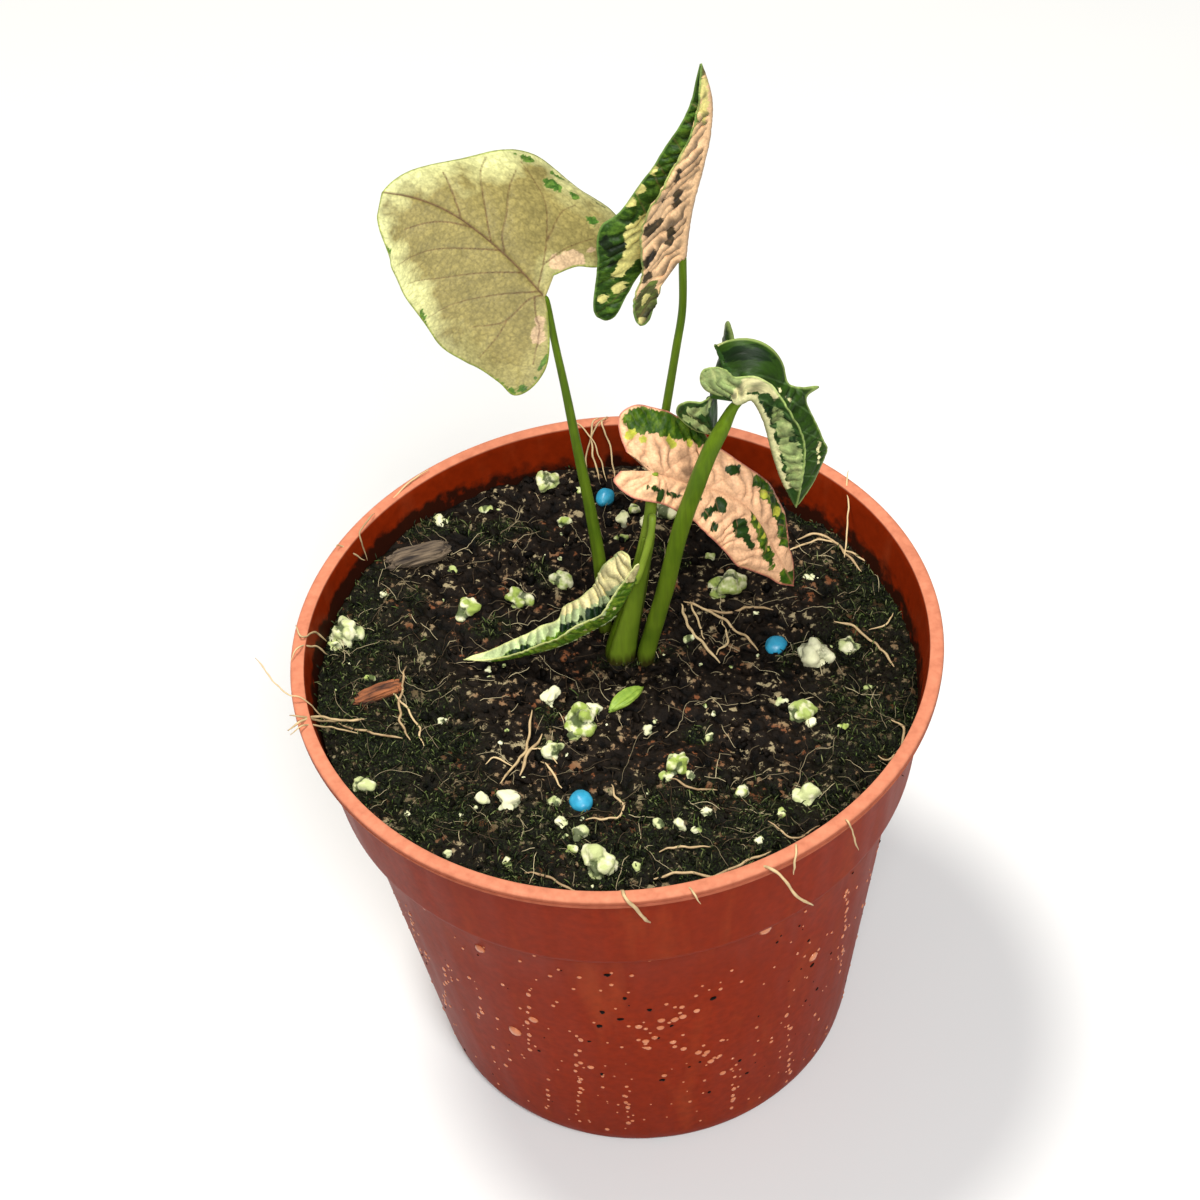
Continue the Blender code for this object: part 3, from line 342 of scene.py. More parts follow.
# Smaller grains of perlite that only the finer model has
PERLITE_GRAINS = [
    (3.8, 41.3, 3.6), (8, 39.2, 2.8), (6.2, 43.2, 2.4), (3.2, 35.3, 2.6), (-31.8, 42.4, 3),
    (-22.9, 46.3, 2.4), (-46, 2.6, 2), (4.3, -13.4, 2.2), (29.4, -9, 2.6), (13.5, -34.3, 2.4),
    (15.6, -16.2, 2.2), (-13.5, -29.2, 2.6), (-26.3, -27.8, 2.8), (-22.4, -42.1, 2.2), (19.8, -30.4, 3.4),
    (4.8, -36.4, 2.6), (8.2, -37, 2.8), (11.4, -37.8, 2.4), (-9.7, -37.7, 3.6), (-12.6, -34.4, 2.4),
    (-7.7, 41.7, 2.6), (34.6, -14.4, 2.6), (-52.8, 12.4, 2.6), (-9.2, -13.8, 3.2), (-5.2, -8.2, 3),
    (6.6, -25.4, 2.6), (11.4, -25.8, 2.2), (-11, -40.4, 2.2), (40, -16, 2), (26.4, -36, 2),
    (-33, -8, 1.8), (-30, 30, 2.2), (20, 30, 2), (-40, -30, 1.8), (46, -6, 1.8), (14, 8, 2), (-3, 22, 2),
    (-24, 4, 1.8), (27, 14, 1.8), (-14, 12, 1.8), (0, -45, 2), (22, -42, 2), (-43, 24, 1.9),
    (38, 22, 1.9), (-33, -40, 1.8), (12, 48, 1.9), (-4, 49, 2.2),
]

# Flat chips as a place, a length, a width, a thickness and a turn in degrees
CHIPS = {
    "bark_chip_1": (-36.5, 33.5, 12.5, 5.0, 3.0, 14.0),
    "bark_chip_2": (-44.5, -1.0, 9.5, 3.4, 2.4, 20.0),
    "leaf_scrap": (1.0, -6.6, 8.6, 3.0, 1.4, 38.0),
}
CHIP_SQUARENESS = 0.6
CHIP_LIFT = 0.25

# Roots that lie on the soil, as places across the pot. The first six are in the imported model.
ROOTS = [
    [(-23.1, -25), (-20.6, -20.6), (-17.9, -16.2), (-17.2, -11.6), (-16.4, -8)],
    [(13.4, 17.6), (16.6, 15.2), (20.2, 12.4), (24, 8.6), (26.6, 4.2)],
    [(37, 33.4), (41, 33.2), (45, 29.6), (48.4, 22.8)],
    [(41.4, 9.8), (45.2, 8.2), (48.8, 3.6), (51.2, -2.6)],
    [(48.8, -16.1), (50.8, -18.2), (49.8, -21.6), (47.4, -24.4), (45, -23.6)],
    [(2.6, -48.6), (8, -47.2), (13.4, -48.4), (19, -46.4), (24, -44.6)],
]
ROOT_RADIUS = 0.45
FINE_ROOTS = [
    (0.22, [(-8.2, -34.1), (-3.4, -34.4), (-1.5, -32.4), (-3.4, -26.3)]),
    (0.22, [(4.1, -43.2), (6.8, -42.4), (13.4, -42)]), (0.2, [(7.3, -26.4), (11.5, -29), (15.5, -28.6)]),
    (0.3, [(-19.5, -22.6), (-17.4, -17), (-14.8, -12.9)]),
    (0.22, [(-15.5, -19.5), (-13, -23), (-11.9, -26.3)]),
    (0.24, [(-19.6, -45.1), (-14.8, -46.7), (-10.1, -50.1)]),
    (0.3, [(13.2, 17.1), (14.3, 9.7), (19.2, 1.4)]), (0.22, [(14.9, 17.4), (16, 11), (16.8, 6.8)]),
    (0.25, [(16.8, 15), (22, 14), (27, 15.6), (31, 14)]), (0.22, [(20.5, 12.4), (21, 7), (18.6, 3)]),
    (0.25, [(-39.4, 4.8), (-40.8, -6.2), (-39.1, -13.6)]), (0.2, [(-42.6, 0), (-38, -8), (-36.4, -15)]),
    (0.22, [(-52, -8), (-46, -11), (-40, -13)]), (0.2, [(34, 29), (42, 31.6), (51, 24)]),
    (0.18, [(-20.6, -20.6), (-23.8, -18.6), (-26, -20)]),
    (0.18, [(-17.9, -16.2), (-14.6, -17), (-12.6, -20)]), (0.18, [(48, 8), (51.6, 9), (53, 12)]),
    (0.2, [(24, -38), (28, -41), (33, -39)]),
]

# Roots that cross the pot's rim, as points in space with the radius of the root at its thickest
RIM_ROOTS = [
    (0.32, [(18.5, -48, 95), (20.5, -53, 101.6), (22.4, -56.2, 104.6), (24.6, -57.8, 103.4),
        (27, -59, 99.4), (29.4, -58.6, 96)]),
    (0.4, [(-3.4, -53, 97), (-3, -57, 103), (-2.4, -59.6, 104.8), (-1, -60.6, 103), (0.4, -60.4, 99.6),
        (1.6, -59.4, 96.4)]),
    (0.25, [(27, -47, 95), (27.3, -50.4, 102.6), (27.2, -52.8, 104.6), (26.8, -54.2, 102.6),
        (26.6, -54, 99)]),
    (0.22, [(35.4, -43, 96), (36.2, -46, 103), (37, -47.8, 104.4), (37.8, -48.4, 101),
        (38.6, -47.4, 96)]),
    (0.25, [(7.6, -54, 97), (8.4, -58, 103.4), (9.2, -60, 104.4), (10.2, -60.3, 101.6)]),
    (0.3, [(-47, -6.8, 96), (-51.4, -9.2, 99), (-55.4, -10.7, 102.4), (-58, -14, 104.8),
        (-60.4, -14.6, 103.4)]),
    (0.25, [(-51, -7.6, 97), (-54.4, -10.4, 100.6), (-57.9, -12.6, 104.8), (-60.2, -11.6, 104.4)]),
    (0.2, [(-48, -10.6, 96.4), (-53, -11.6, 100), (-57.4, -14.8, 104.8), (-59.8, -16.6, 104.2)]),
    (0.17, [(-54, -7.6, 97), (-57.2, -8.4, 104.7), (-61, -6.6, 105.6), (-66, 1.4, 106.4)]),
    (0.25, [(-54.2, 12.6, 97), (-55.6, 11.4, 101), (-57.7, 7, 104.8), (-58.9, 10.2, 104.9)]),
    (0.22, [(-53.8, 9, 97), (-55.6, 8, 100.6), (-58.2, 4.6, 104.8), (-59.8, 1.6, 104.5)]),
    (0.22, [(-46.4, 31, 99), (-48.6, 30.4, 102), (-50.8, 30, 104.8), (-51.4, 28.6, 104.9)]),
    (0.2, [(-46, 32, 98), (-46.8, 33, 104), (-44.8, 36.4, 104.8), (-43.6, 38.4, 104.4)]),
    (0.22, [(45, 22, 97), (46.8, 30, 101), (47.2, 35.4, 104.4), (47.8, 38, 104.6)]),
    (0.25, [(0, 50, 96), (-1, 54.6, 100.6), (-0.4, 57.4, 104.5), (1, 58.8, 104.6)]),
    (0.22, [(3, 50, 96), (2.6, 54.6, 101), (1.4, 57.2, 104.5), (2.8, 59.6, 104.2)]),
    (0.22, [(-2.6, 50, 95.6), (-2.2, 54, 99.4), (0.4, 57, 104.3), (3, 58.6, 104.7)]),
    (0.18, [(1.4, 49.6, 95.8), (-0.4, 55, 101.6), (-3, 57.6, 104.4), (-5, 58.4, 104.6)]),
    (0.22, [(-40.6, 42, 103.8), (-37, 45.6, 104.4), (-33, 48.8, 104.6)]),
]

# Water on the wall: runs as (angle, height) at both ends, how far apart their beads are and what
# share is missing, a cluster and how many beads each of its places has, single beads with their
# size, the lowest bead's height and the heights that loose beads and specks lie between
BEAD_SPACING = 2.1
MISSING_BEADS = 0.15
CLUSTER_BEADS = 4
LOWEST_BEAD = 4.5
BEAD_HEIGHTS = (5, 76)
SPECK_HEIGHTS = (6, 76)
DROP_RUNS = [
    ((-55.7, 37.9), (-51.2, 4.5)), ((-106.2, 46.1), (-111.4, 7.6)), ((-117.4, 22.6), (-120.3, 7.7)),
    ((-115.6, 60.4), (-120.5, 33.6)), ((-129.3, 53), (-133.5, 37.8)), ((-141.2, 48.1), (-151.7, 24.8)),
    ((-40, 66), (-34, 30)), ((-150, 60), (-156, 40)), ((-70, 24), (-70, 8)), ((-97, 26), (-98, 9)),
]
DROP_CLUSTER = [
    (-84.1, 54.7), (-86.3, 52.6), (-91, 50.7), (-91.7, 41.4), (-83.7, 42.8), (-77.3, 36.5), (-74.5, 32.1),
    (-71.5, 27),
]
BIG_DROPS = [(-125.3, 70, 2.3), (-122.9, 39.8, 3), (-64.9, 75, 2.8), (-49.7, 51.6, 2.4)]

# Specks of peat on the wall, as (angle, height)
SPECKS = [
    (-97.2, 71.1), (-96, 53.9), (-100.5, 56.5), (-101, 50.8), (-88.3, 45.4), (-88.1, 27.6), (-66.2, 20.1),
    (-75.9, 56.7), (-49.3, 48.5), (-45.9, 35.4), (-94, 62), (-90, 57), (-104, 44),
]

# Stage: the camera in degrees and millimetres, the floor, and lamps as a place in metres, a size in
# metres and a colour
CAMERA_ELEVATION = 46.83
CAMERA_ROLL = 5.24
CAMERA_DISTANCE = 506.2
CAMERA_TARGET = (-2.12, 0, 114.82)
SENSOR_WIDTH = 36.0
FOCAL_LENGTH = 84.0
FLOOR_REACH = 3000
FLOOR_DROP = 0.05
LAMP_TARGET = (0, 0, 0.1)
KEY_LAMP = ((-0.2, 0.14, 1.05), 0.24, (1.0, 0.97, 0.92))
FILL_LAMP = ((0.12, -0.7, 0.98), 0.45, (0.97, 0.98, 1.0))


def report(operator, text):
    operator.report({"INFO"}, text)
    return {"FINISHED"}


def linear(code):
    """The linear colour of an sRGB hex code, with alpha."""
    values = [int(code[i : i + 2], 16) / 255 for i in (1, 3, 5)]
    return [v / 12.92 if v <= 0.04045 else ((v + 0.055) / 1.055) ** 2.4 for v in values] + [1.0]


def hex_colour(code):
    return linear(code)[:3]


def shaded(colour, share):
    """A colour made darker or lighter, with alpha."""
    return (*[min(1, c * share) for c in colour], 1)


# Settings of a node that mixes two colours: its colour output and its kind
MIX = {"out": 2, "data_type": "RGBA"}


def fill(node, inputs):
    """Sets or links a node's inputs, given in the order of its sockets or by name. A text is a
    colour's hex code."""
    for key, value in inputs.items() if isinstance(inputs, dict) else enumerate(inputs):
        socket = node.inputs[key]
        if isinstance(value, bpy.types.NodeSocket):
            node.id_data.links.new(value, socket)
        else:
            socket.default_value = linear(value) if isinstance(value, str) else value


def add_node(tree, kind, inputs=(), out=0, **settings):
    """Adds a node with its settings, values and links, and gives one of its outputs."""
    node = tree.nodes.new("ShaderNode" + kind)
    for key, value in settings.items():
        setattr(node, key, value)
    fill(node, inputs)
    return node.outputs[out]


def new_material(name, **values):
    """A material whose shader has these plain values, what adds nodes to it, and the shader."""
    made = bpy.data.materials.new(name)
    made.use_nodes = True
    shader = made.node_tree.nodes["Principled BSDF"]
    fill(shader, {key.replace("_", " "): value for key, value in values.items()})
    return made, partial(add_node, made.node_tree), shader


def smooth_line(points, steps=10):
    """A smooth curve through the points, as a dense row of points."""
    points = np.array(points, float)
    first = 2 * points[0] - points[1]
    last = 2 * points[-1] - points[-2]
    padded = np.vstack([first, points, last])
    t = np.linspace(0, 1, steps, endpoint=False)[:, None]
    spans = []
    for a, b, c, d in zip(padded, padded[1:], padded[2:], padded[3:]):
        square = (a - 2.5 * b + 2 * c - d / 2) * t**2
        cube = (1.5 * (b - c) + (d - a) / 2) * t**3
        spans.append(b + (c - a) * t / 2 + square + cube)
    return np.vstack(spans + [points[-1:]])


def reach_of(line):
    """Distance along a row of points at each point."""
    return np.concatenate([[0], np.cumsum(np.linalg.norm(np.diff(line, axis=0), axis=1))])


def along(line, distance):
    """Points at these distances along a row of points."""
    reach = reach_of(line)
    return np.stack([np.interp(distance, reach, line[:, k]) for k in range(line.shape[1])], -1)


def unit(vectors):
    vectors = np.asarray(vectors, float)
    return vectors / np.maximum(np.linalg.norm(vectors, axis=-1, keepdims=True), 1e-9)


def noise_at(points):
    return np.array([noise.noise(Vector(p)) for p in points])


def rough(points, width, layer=0.0):
    """Smooth noise from -1 to 1 at each point, with bumps about this wide."""
    points = np.asarray(points, float) / width + layer
    if points.shape[1] == 2:
        points = np.column_stack([points, np.full(len(points), layer)])
    return noise_at(points)


def rough_row(count, seed, width, layer):
    """Smooth noise along a row of this many points."""
    return rough(np.column_stack([np.arange(count), np.full(count, seed)]), width, layer)


def grains(points, width, layer=0.0):
    """How far each point is from the middle of its grain, in grain widths, how far from the middle
    of the next one, and a number from 0 to 1 for each grain."""
    points = np.asarray(points, float) / width + layer
    if points.shape[1] == 2:
        points = np.column_stack([points, np.full(len(points), layer)])
    near, after, tone = np.empty((3, len(points)))
    for i, point in enumerate(points):
        gaps, middles = noise.voronoi(Vector(point))
        near[i], after[i] = gaps[0], gaps[1]
        tone[i] = 0.5 + 0.8 * noise.noise(middles[0] * 3.7)
    return near, after, np.clip(tone, 0, 1)


def strewn(draw, reach, count):
    """Places drawn evenly over a disc of this radius."""
    away = reach * np.sqrt(draw.random(count))
    turn = draw.uniform(0, 2 * math.pi, count)
    return np.column_stack([away * np.cos(turn), away * np.sin(turn)])


def circle(count):
    """Points round a unit circle."""
    angles = 2 * math.pi * np.arange(count) / count
    return np.column_stack([np.cos(angles), np.sin(angles)])


def dome(near, reach):
    """Height of a round dome over its middle, from 1 down to 0 at its reach."""
    return np.sqrt(np.clip(1 - (near / reach) ** 2, 0, 1))


def step_up(values, low, high):
    """0 below low, 1 above high, and smooth between them."""
    t = np.clip((values - low) / (high - low), 0, 1)
    return t * t * (3 - 2 * t)


class Heap:
    """Gathers many small shapes, with numbers for each point, into one mesh."""

    def __init__(self, *names):
        self.points = []
        self.faces = []
        self.count = 0
        self.values = {name: [] for name in names}

    def add(self, points, faces, **values):
        self.points.append(np.asarray(points, float))
        self.faces.extend([[i + self.count for i in face] for face in faces])
        for name, row in self.values.items():
            row.append(np.broadcast_to(np.asarray(values.get(name, 0.0), float), len(points)))
        self.count += len(points)

    def make(self, name, material):
        obj = add_piece(name, np.vstack(self.points), self.faces, material)
        for key, rows in self.values.items():
            add_values(obj, key, np.concatenate(rows))
        return obj


def add_piece(name, points, faces, material, smooth=True):
    """A mesh object from millimetre points."""
    mesh = bpy.data.meshes.new(name)
    faces = faces.tolist() if isinstance(faces, np.ndarray) else faces
    mesh.from_pydata((np.asarray(points) * MM).tolist(), [], faces)
    mesh.materials.append(material)
    if smooth:
        mesh.shade_smooth()
    obj = bpy.data.objects.new(name, mesh)
    bpy.context.scene.collection.objects.link(obj)
    return obj


def add_values(obj, name, values):
    """Stores a number or a vector at each point of a mesh, for its material."""
    values = np.asarray(values, np.float32)
    kind, field = ("FLOAT", "value") if values.ndim == 1 else ("FLOAT_VECTOR", "vector")
    layer = obj.data.attributes.new(name, kind, "POINT")
    layer.data.foreach_set(field, values.ravel())


def settle(piece, slot, *nodes):
    """Makes a piece ride on the plant's body and stand for its solids. The slot is not used."""
    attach(piece, BODY)
    if nodes:
        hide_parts(*nodes)


def ring_faces(first, second, count, down=False):
    """Faces between two rings of points, given where each ring starts."""
    faces = []
    for j in range(count):
        k = (j + 1) % count
        if down:
            faces.append((first + j, second + j, second + k, first + k))
        else:
            faces.append((first + j, first + k, second + k, second + j))
    return faces


def stack_faces(count, sides, start=0):
    """Faces between rings of points that follow one another."""
    faces = []
    for first in range(start, start + (count - 1) * sides, sides):
        faces += ring_faces(first, first + sides, sides)
    return faces


def tube(points, radii, sides, shape=None):
    """Points and faces of a closed tube. The shape scales the radius round each ring."""
    points = np.asarray(points, float)
    radii = np.broadcast_to(radii, len(points))
    tangents = unit(np.gradient(points, axis=0))
    start = np.cross(tangents[0], (0.0, 1.0, 0.0))
    if np.linalg.norm(start) < 0.1:
        start = np.cross(tangents[0], (1.0, 0.0, 0.0))
    side = unit(start)
    angles = 2 * math.pi * np.arange(sides) / sides
    rings = []
    for i, tangent in enumerate(tangents):
        side = unit(side - np.dot(side, tangent) * tangent)
        other = np.cross(tangent, side)
        scale = radii[i] * (shape(angles) if shape else 1.0)
        rings.append(points[i] + (np.cos(angles) * scale)[:, None] * side
                     + (np.sin(angles) * scale)[:, None] * other)
    count = len(points)
    body = np.vstack(rings + [points[:1], points[-1:]])
    faces = stack_faces(count, sides)
    low, high, last = count * sides, count * sides + 1, (count - 1) * sides
    for j in range(sides):
        k = (j + 1) % sides
        faces.append((low, k, j))
        faces.append((high, last + j, last + k))
    return body, faces


def ball(subdivisions):
    """Points and triangles of a unit ball."""
    bm = bmesh.new()
    bmesh.ops.create_icosphere(bm, subdivisions=subdivisions, radius=1.0)
    points = np.array([v.co[:] for v in bm.verts])
    faces = [[v.index for v in face.verts] for face in bm.faces]
    bm.free()
    return points, faces


def turned_about(axis_angles):
    """A turn about x, y and z as a 3 by 3 array."""
    turn = Matrix.Identity(3)
    for angle, axis in zip(axis_angles, "XYZ"):
        turn = Matrix.Rotation(angle, 3, axis) @ turn
    return np.array(turn)


# Pot


def inner_radius(height):
    """Radius of the pot's inside wall above the step."""
    top = RIM_RADIUS - RIM_WIDTH
    low = COLLAR_RADIUS - WALL
    step = POT_HEIGHT - COLLAR_DEPTH + WALL
    return low + (top - low) * (height - step) / (POT_HEIGHT - step)


def outer_radius(height):
    """Radius of the pot's outside wall below the collar."""
    top = POT_HEIGHT - COLLAR_DEPTH - 0.4
    return BASE_RADIUS + (BODY_TOP_RADIUS - BASE_RADIUS) * (height - CORNER) / (top - CORNER)


def pot_profile():
    """The wall's outline, down the outside from the rim and up the inside."""
    step = POT_HEIGHT - COLLAR_DEPTH
    groove = RIM_RADIUS - 0.6
    lip = POT_HEIGHT - LIP_DROP
    inside_corner = BASE_RADIUS - CORNER
    ring_in, ring_out = STANDING_RING
    floor = BASE_RISE + WALL
    return [
        (RIM_RADIUS - 0.75, POT_HEIGHT), (RIM_RADIUS - 0.3, POT_HEIGHT - 0.08),
        (RIM_RADIUS - 0.08, POT_HEIGHT - 0.3), (RIM_RADIUS, POT_HEIGHT - 0.6),
        (RIM_RADIUS, POT_HEIGHT - 0.95), (RIM_RADIUS - 0.12, POT_HEIGHT - 1.08),
        (groove, POT_HEIGHT - 1.2), (groove, POT_HEIGHT - 1.45),
        (RIM_RADIUS - 0.2, POT_HEIGHT - 1.6), (RIM_RADIUS - 0.1, POT_HEIGHT - 1.72),
        (RIM_RADIUS - 0.1, lip + 0.2), (RIM_RADIUS - 0.3, lip), (RIM_RADIUS - 1.7, lip - 0.25),
        (RIM_RADIUS - 2.1, lip - 0.8), (RIM_RADIUS - 2.3, lip - 2.0),
        (COLLAR_RADIUS + 0.1, step + 1.6), (COLLAR_RADIUS - 0.05, step + 0.7),
        (COLLAR_RADIUS - 0.5, step + 0.15), (COLLAR_RADIUS - 1.6, step),
        (BODY_TOP_RADIUS + 0.15, step - 0.2), (BODY_TOP_RADIUS - 0.1, step - 0.8),
        (outer_radius(60), 60.0), (outer_radius(40), 40.0), (outer_radius(20), 20.0),
        (BASE_RADIUS + 0.3, CORNER + 2.2), (BASE_RADIUS, CORNER),
        (BASE_RADIUS - 0.35, CORNER * 0.55), (BASE_RADIUS - 1.0, CORNER * 0.22),
        (BASE_RADIUS - 2.0, 0.1), (ring_out, 0.0), (ring_in, 0.0), (ring_in - 1.4, BASE_RISE),
        (CENTRE_HOLE_RADIUS, BASE_RISE), (CENTRE_HOLE_RADIUS, floor), (inside_corner - 1.0, floor),
        (BASE_RADIUS - WALL - 0.8, floor + 1.2), (BODY_TOP_RADIUS - WALL, step - 0.6),
        (inner_radius(step + WALL), step + WALL), (inner_radius(POT_HEIGHT - 2), POT_HEIGHT - 2.0),
        (RIM_RADIUS - RIM_WIDTH, POT_HEIGHT - 0.5),
        (RIM_RADIUS - RIM_WIDTH + 0.12, POT_HEIGHT - 0.2),
        (RIM_RADIUS - RIM_WIDTH + 0.5, POT_HEIGHT),
    ]


def moulded_polypropylene(colour):
    """Polypropylene, injection moulded in a lightly polished mould: a satin skin with clouds in
    the pigment, painted light on the top of the rim and the lip, and inside both peat stains and
    painted shade."""
    made, node, shader = new_material("terracotta_polypropylene_moulded", IOR=1.49, Specular_IOR_Level=0.03)
    place = node("TexCoord", out=3)
    soiled = node("Attribute", out=2, attribute_name="soiled")
    # Clouds in the pigment, about 30 mm wide, and a fine mottle about 1.5 mm wide
    cloud = node("TexNoise", {"Vector": place, "Scale": 33.0, "Detail": 3.0})
    mottle = node("TexNoise", {"Vector": place, "Scale": 640.0, "Detail": 4.0})
    # Dried water that ran down in streaks about 6 mm wide
    stretch = node("Mapping", {"Vector": place, "Scale": (1.0, 1.0, 0.12)})
    film = node("TexNoise", {"Vector": stretch, "Scale": 170.0, "Detail": 4.0})
    tone = node("MapRange", [mottle, 0.3, 0.7])
    tone = node("Math", [tone, cloud, 0.0], operation="MULTIPLY_ADD")
    base = node("Mix", {0: tone, 6: shaded(colour, 0.78), 7: shaded(colour, 1.25)}, **MIX)
    dry = node("MapRange", [film, 0.54, 0.76, 0.0, 0.14])
    base = node("Mix", {0: dry, 6: base, 7: "#C4683F"}, **MIX)
    # Painted light: the top of the rim and the lip are painted lighter, where they face the light
    lit_rim = node("Attribute", out=2, attribute_name="lit_rim")
    rim_highlight = node("Math", [mottle, 0.5, 0.36], operation="MULTIPLY_ADD")
    rim_highlight = node("Math", [rim_highlight, lit_rim], operation="MULTIPLY")
    base = node("Mix", {0: rim_highlight, 6: base, 7: "#DA9170"}, **MIX)
    # Wet peat clings to the inside wall above the soil, mixed with painted shade that is darker lower down
    # and at the left
    blot = node("TexNoise", {"Vector": place, "Scale": 330.0, "Detail": 5.0})
    peat_and_shade = node("Math", [soiled, blot], operation="MULTIPLY")
    peat_and_shade = node("MapRange", [peat_and_shade, 0.11, 0.19, 0.0, 0.92])
    base = node("Mix", {0: peat_and_shade, 6: base, 7: "#1C100A"}, **MIX)
    satin = node("MapRange", [film, 0.3, 0.75, 0.36, 0.52])
    # Orange peel of the moulded skin, about 0.8 mm wide
    peel = node("TexNoise", {"Vector": place, "Scale": 1200.0, "Detail": 2.0})
    bump = node("Bump", {"Height": peel, "Distance": 0.00003, "Strength": 0.5})
    fill(shader, {"Base Color": base, "Roughness": satin, "Normal": bump})
    return made


def make_pot(sizes):
    profile = np.array(pot_profile())
    segments = sizes.pot_segments
    ring = circle(segments)
    rings = [np.column_stack([ring * r, np.full(segments, z)]) for r, z in profile]
    count = len(profile)
    faces = []
    for i in range(count):
        faces += ring_faces(i * segments, (i + 1) % count * segments, segments, down=True)
    pot = add_piece("pot_moulded", np.vstack(rings), faces, moulded_polypropylene(sizes.pot_colour))
    cutters = bmesh.new()
    for i in range(DRAIN_HOLES):
        angle = 2 * math.pi * (i + 0.5) / DRAIN_HOLES
        centre = Vector((math.cos(angle), math.sin(angle), 0)) * DRAIN_CIRCLE_RADIUS * MM
        bmesh.ops.create_cone(
            cutters, cap_ends=True, segments=HOLE_SIDES, radius1=DRAIN_HOLE_RADIUS * MM,
            radius2=DRAIN_HOLE_RADIUS * MM, depth=CUTTER_DEPTH * MM, matrix=Matrix.Translation(centre),
        )
    for i in range(RING_NOTCHES):
        turn = Matrix.Rotation(2 * math.pi * i / RING_NOTCHES, 4, "Z")
        place = turn @ Matrix.Translation((sum(STANDING_RING) / 2 * MM, 0, 0))
        size = Matrix.Diagonal((NOTCH_SIZE[0] * MM, NOTCH_SIZE[1] * MM, 2 * NOTCH_SIZE[2] * MM, 1))
        bmesh.ops.create_cube(cutters, size=1, matrix=place @ size)
    mesh = bpy.data.meshes.new("drain_cutters")
    cutters.to_mesh(mesh)
    cutters.free()
    cutter = bpy.data.objects.new("drain_cutters", mesh)
    bpy.context.scene.collection.objects.link(cutter)
    cut = pot.modifiers.new("drain", "BOOLEAN")
    cut.operation = "DIFFERENCE"
    cut.object = cutter
    apply_modifiers(pot)
    bpy.data.objects.remove(cutter)
    pot.data.shade_smooth()
    pot.data.set_sharp_from_angle(angle=math.radians(SHARP_ANGLE))
    places = np.array([v.co[:] for v in pot.data.vertices]) / MM
    height, reach = places[:, 2], np.hypot(places[:, 0], places[:, 1])
    inside = (reach < inner_radius(height) + WALL / 2) & (height > POT_HEIGHT - COLLAR_DEPTH)
    # Peat stains and painted shade inside: darker lower down, and more at the left
    low = np.clip((POT_HEIGHT - 2 - height) / 22, 0, 1) * (1 + 1.7 * step_up(-places[:, 0], 5, 50))
    add_values(pot, "soiled", inside * low)
    # Painted light on the top of the rim, and less of it on the lip
    lit_rim = np.where(height > POT_HEIGHT - 0.4, 1.0, 0.0)
    band = (height > POT_HEIGHT - LIP_DROP - 0.1) & (reach > RIM_RADIUS - 0.75)
    add_values(pot, "lit_rim", np.where(band, np.maximum(lit_rim, 0.45), lit_rim))
    settle(pot, "pot_plastic", "pot")


def apply_modifiers(obj):
    graph = bpy.context.evaluated_depsgraph_get()
    graph.update()
    mesh = bpy.data.meshes.new_from_object(obj.evaluated_get(graph))
    obj.modifiers.clear()
    obj.data = mesh


def water():
    """Clean water in still beads: clear, with a bright round light in each, and painted light: the
    pot's colour painted lighter in each bead, standing in for the light that it gathers."""
    made, node, shader = new_material("clear_water_beaded", IOR=1.333, Roughness=0.06)
    place = node("TexCoord", out=3)
    tint = node("TexNoise", {"Vector": place, "Scale": 300.0})
    # Painted light: a lighter orange than the pot, for the light that each bead gathers
    base = node("Mix", {0: tint, 6: "#A8552F", 7: "#D68C64"}, **MIX)
    fill(shader, {"Base Color": base})
    return made


def bead(angle, height, size, tall):
    """A flattened bead on the outside wall."""
    rings, sides = 4, 10
    turn = math.radians(angle)
    radius = outer_radius(height) if height < POT_HEIGHT - COLLAR_DEPTH else COLLAR_RADIUS
    out = np.array((math.cos(turn), math.sin(turn), -0.13))
    round_wall = np.array((-math.sin(turn), math.cos(turn), 0))
    down = unit(np.cross(out, round_wall))
    centre = np.array((radius * math.cos(turn), radius * math.sin(turn), height))
    points = [centre + out * size * 0.16]
    for i in range(1, rings + 1):
        share = i / rings
        lift = size * 0.2 * (1 - share**2) - 0.05 * (i == rings)
        ring = circle(sides) * (size / 2 * share) * (1, tall)
        points.extend(centre + ring @ (round_wall, down) + unit(out) * lift)
    faces = [(0, 1 + (j + 1) % sides, 1 + j) for j in range(sides)]
    faces += stack_faces(rings, sides, 1)
    base = 1 + (rings - 1) * sides
    faces.append([base + j for j in range(sides)])
    return points, faces


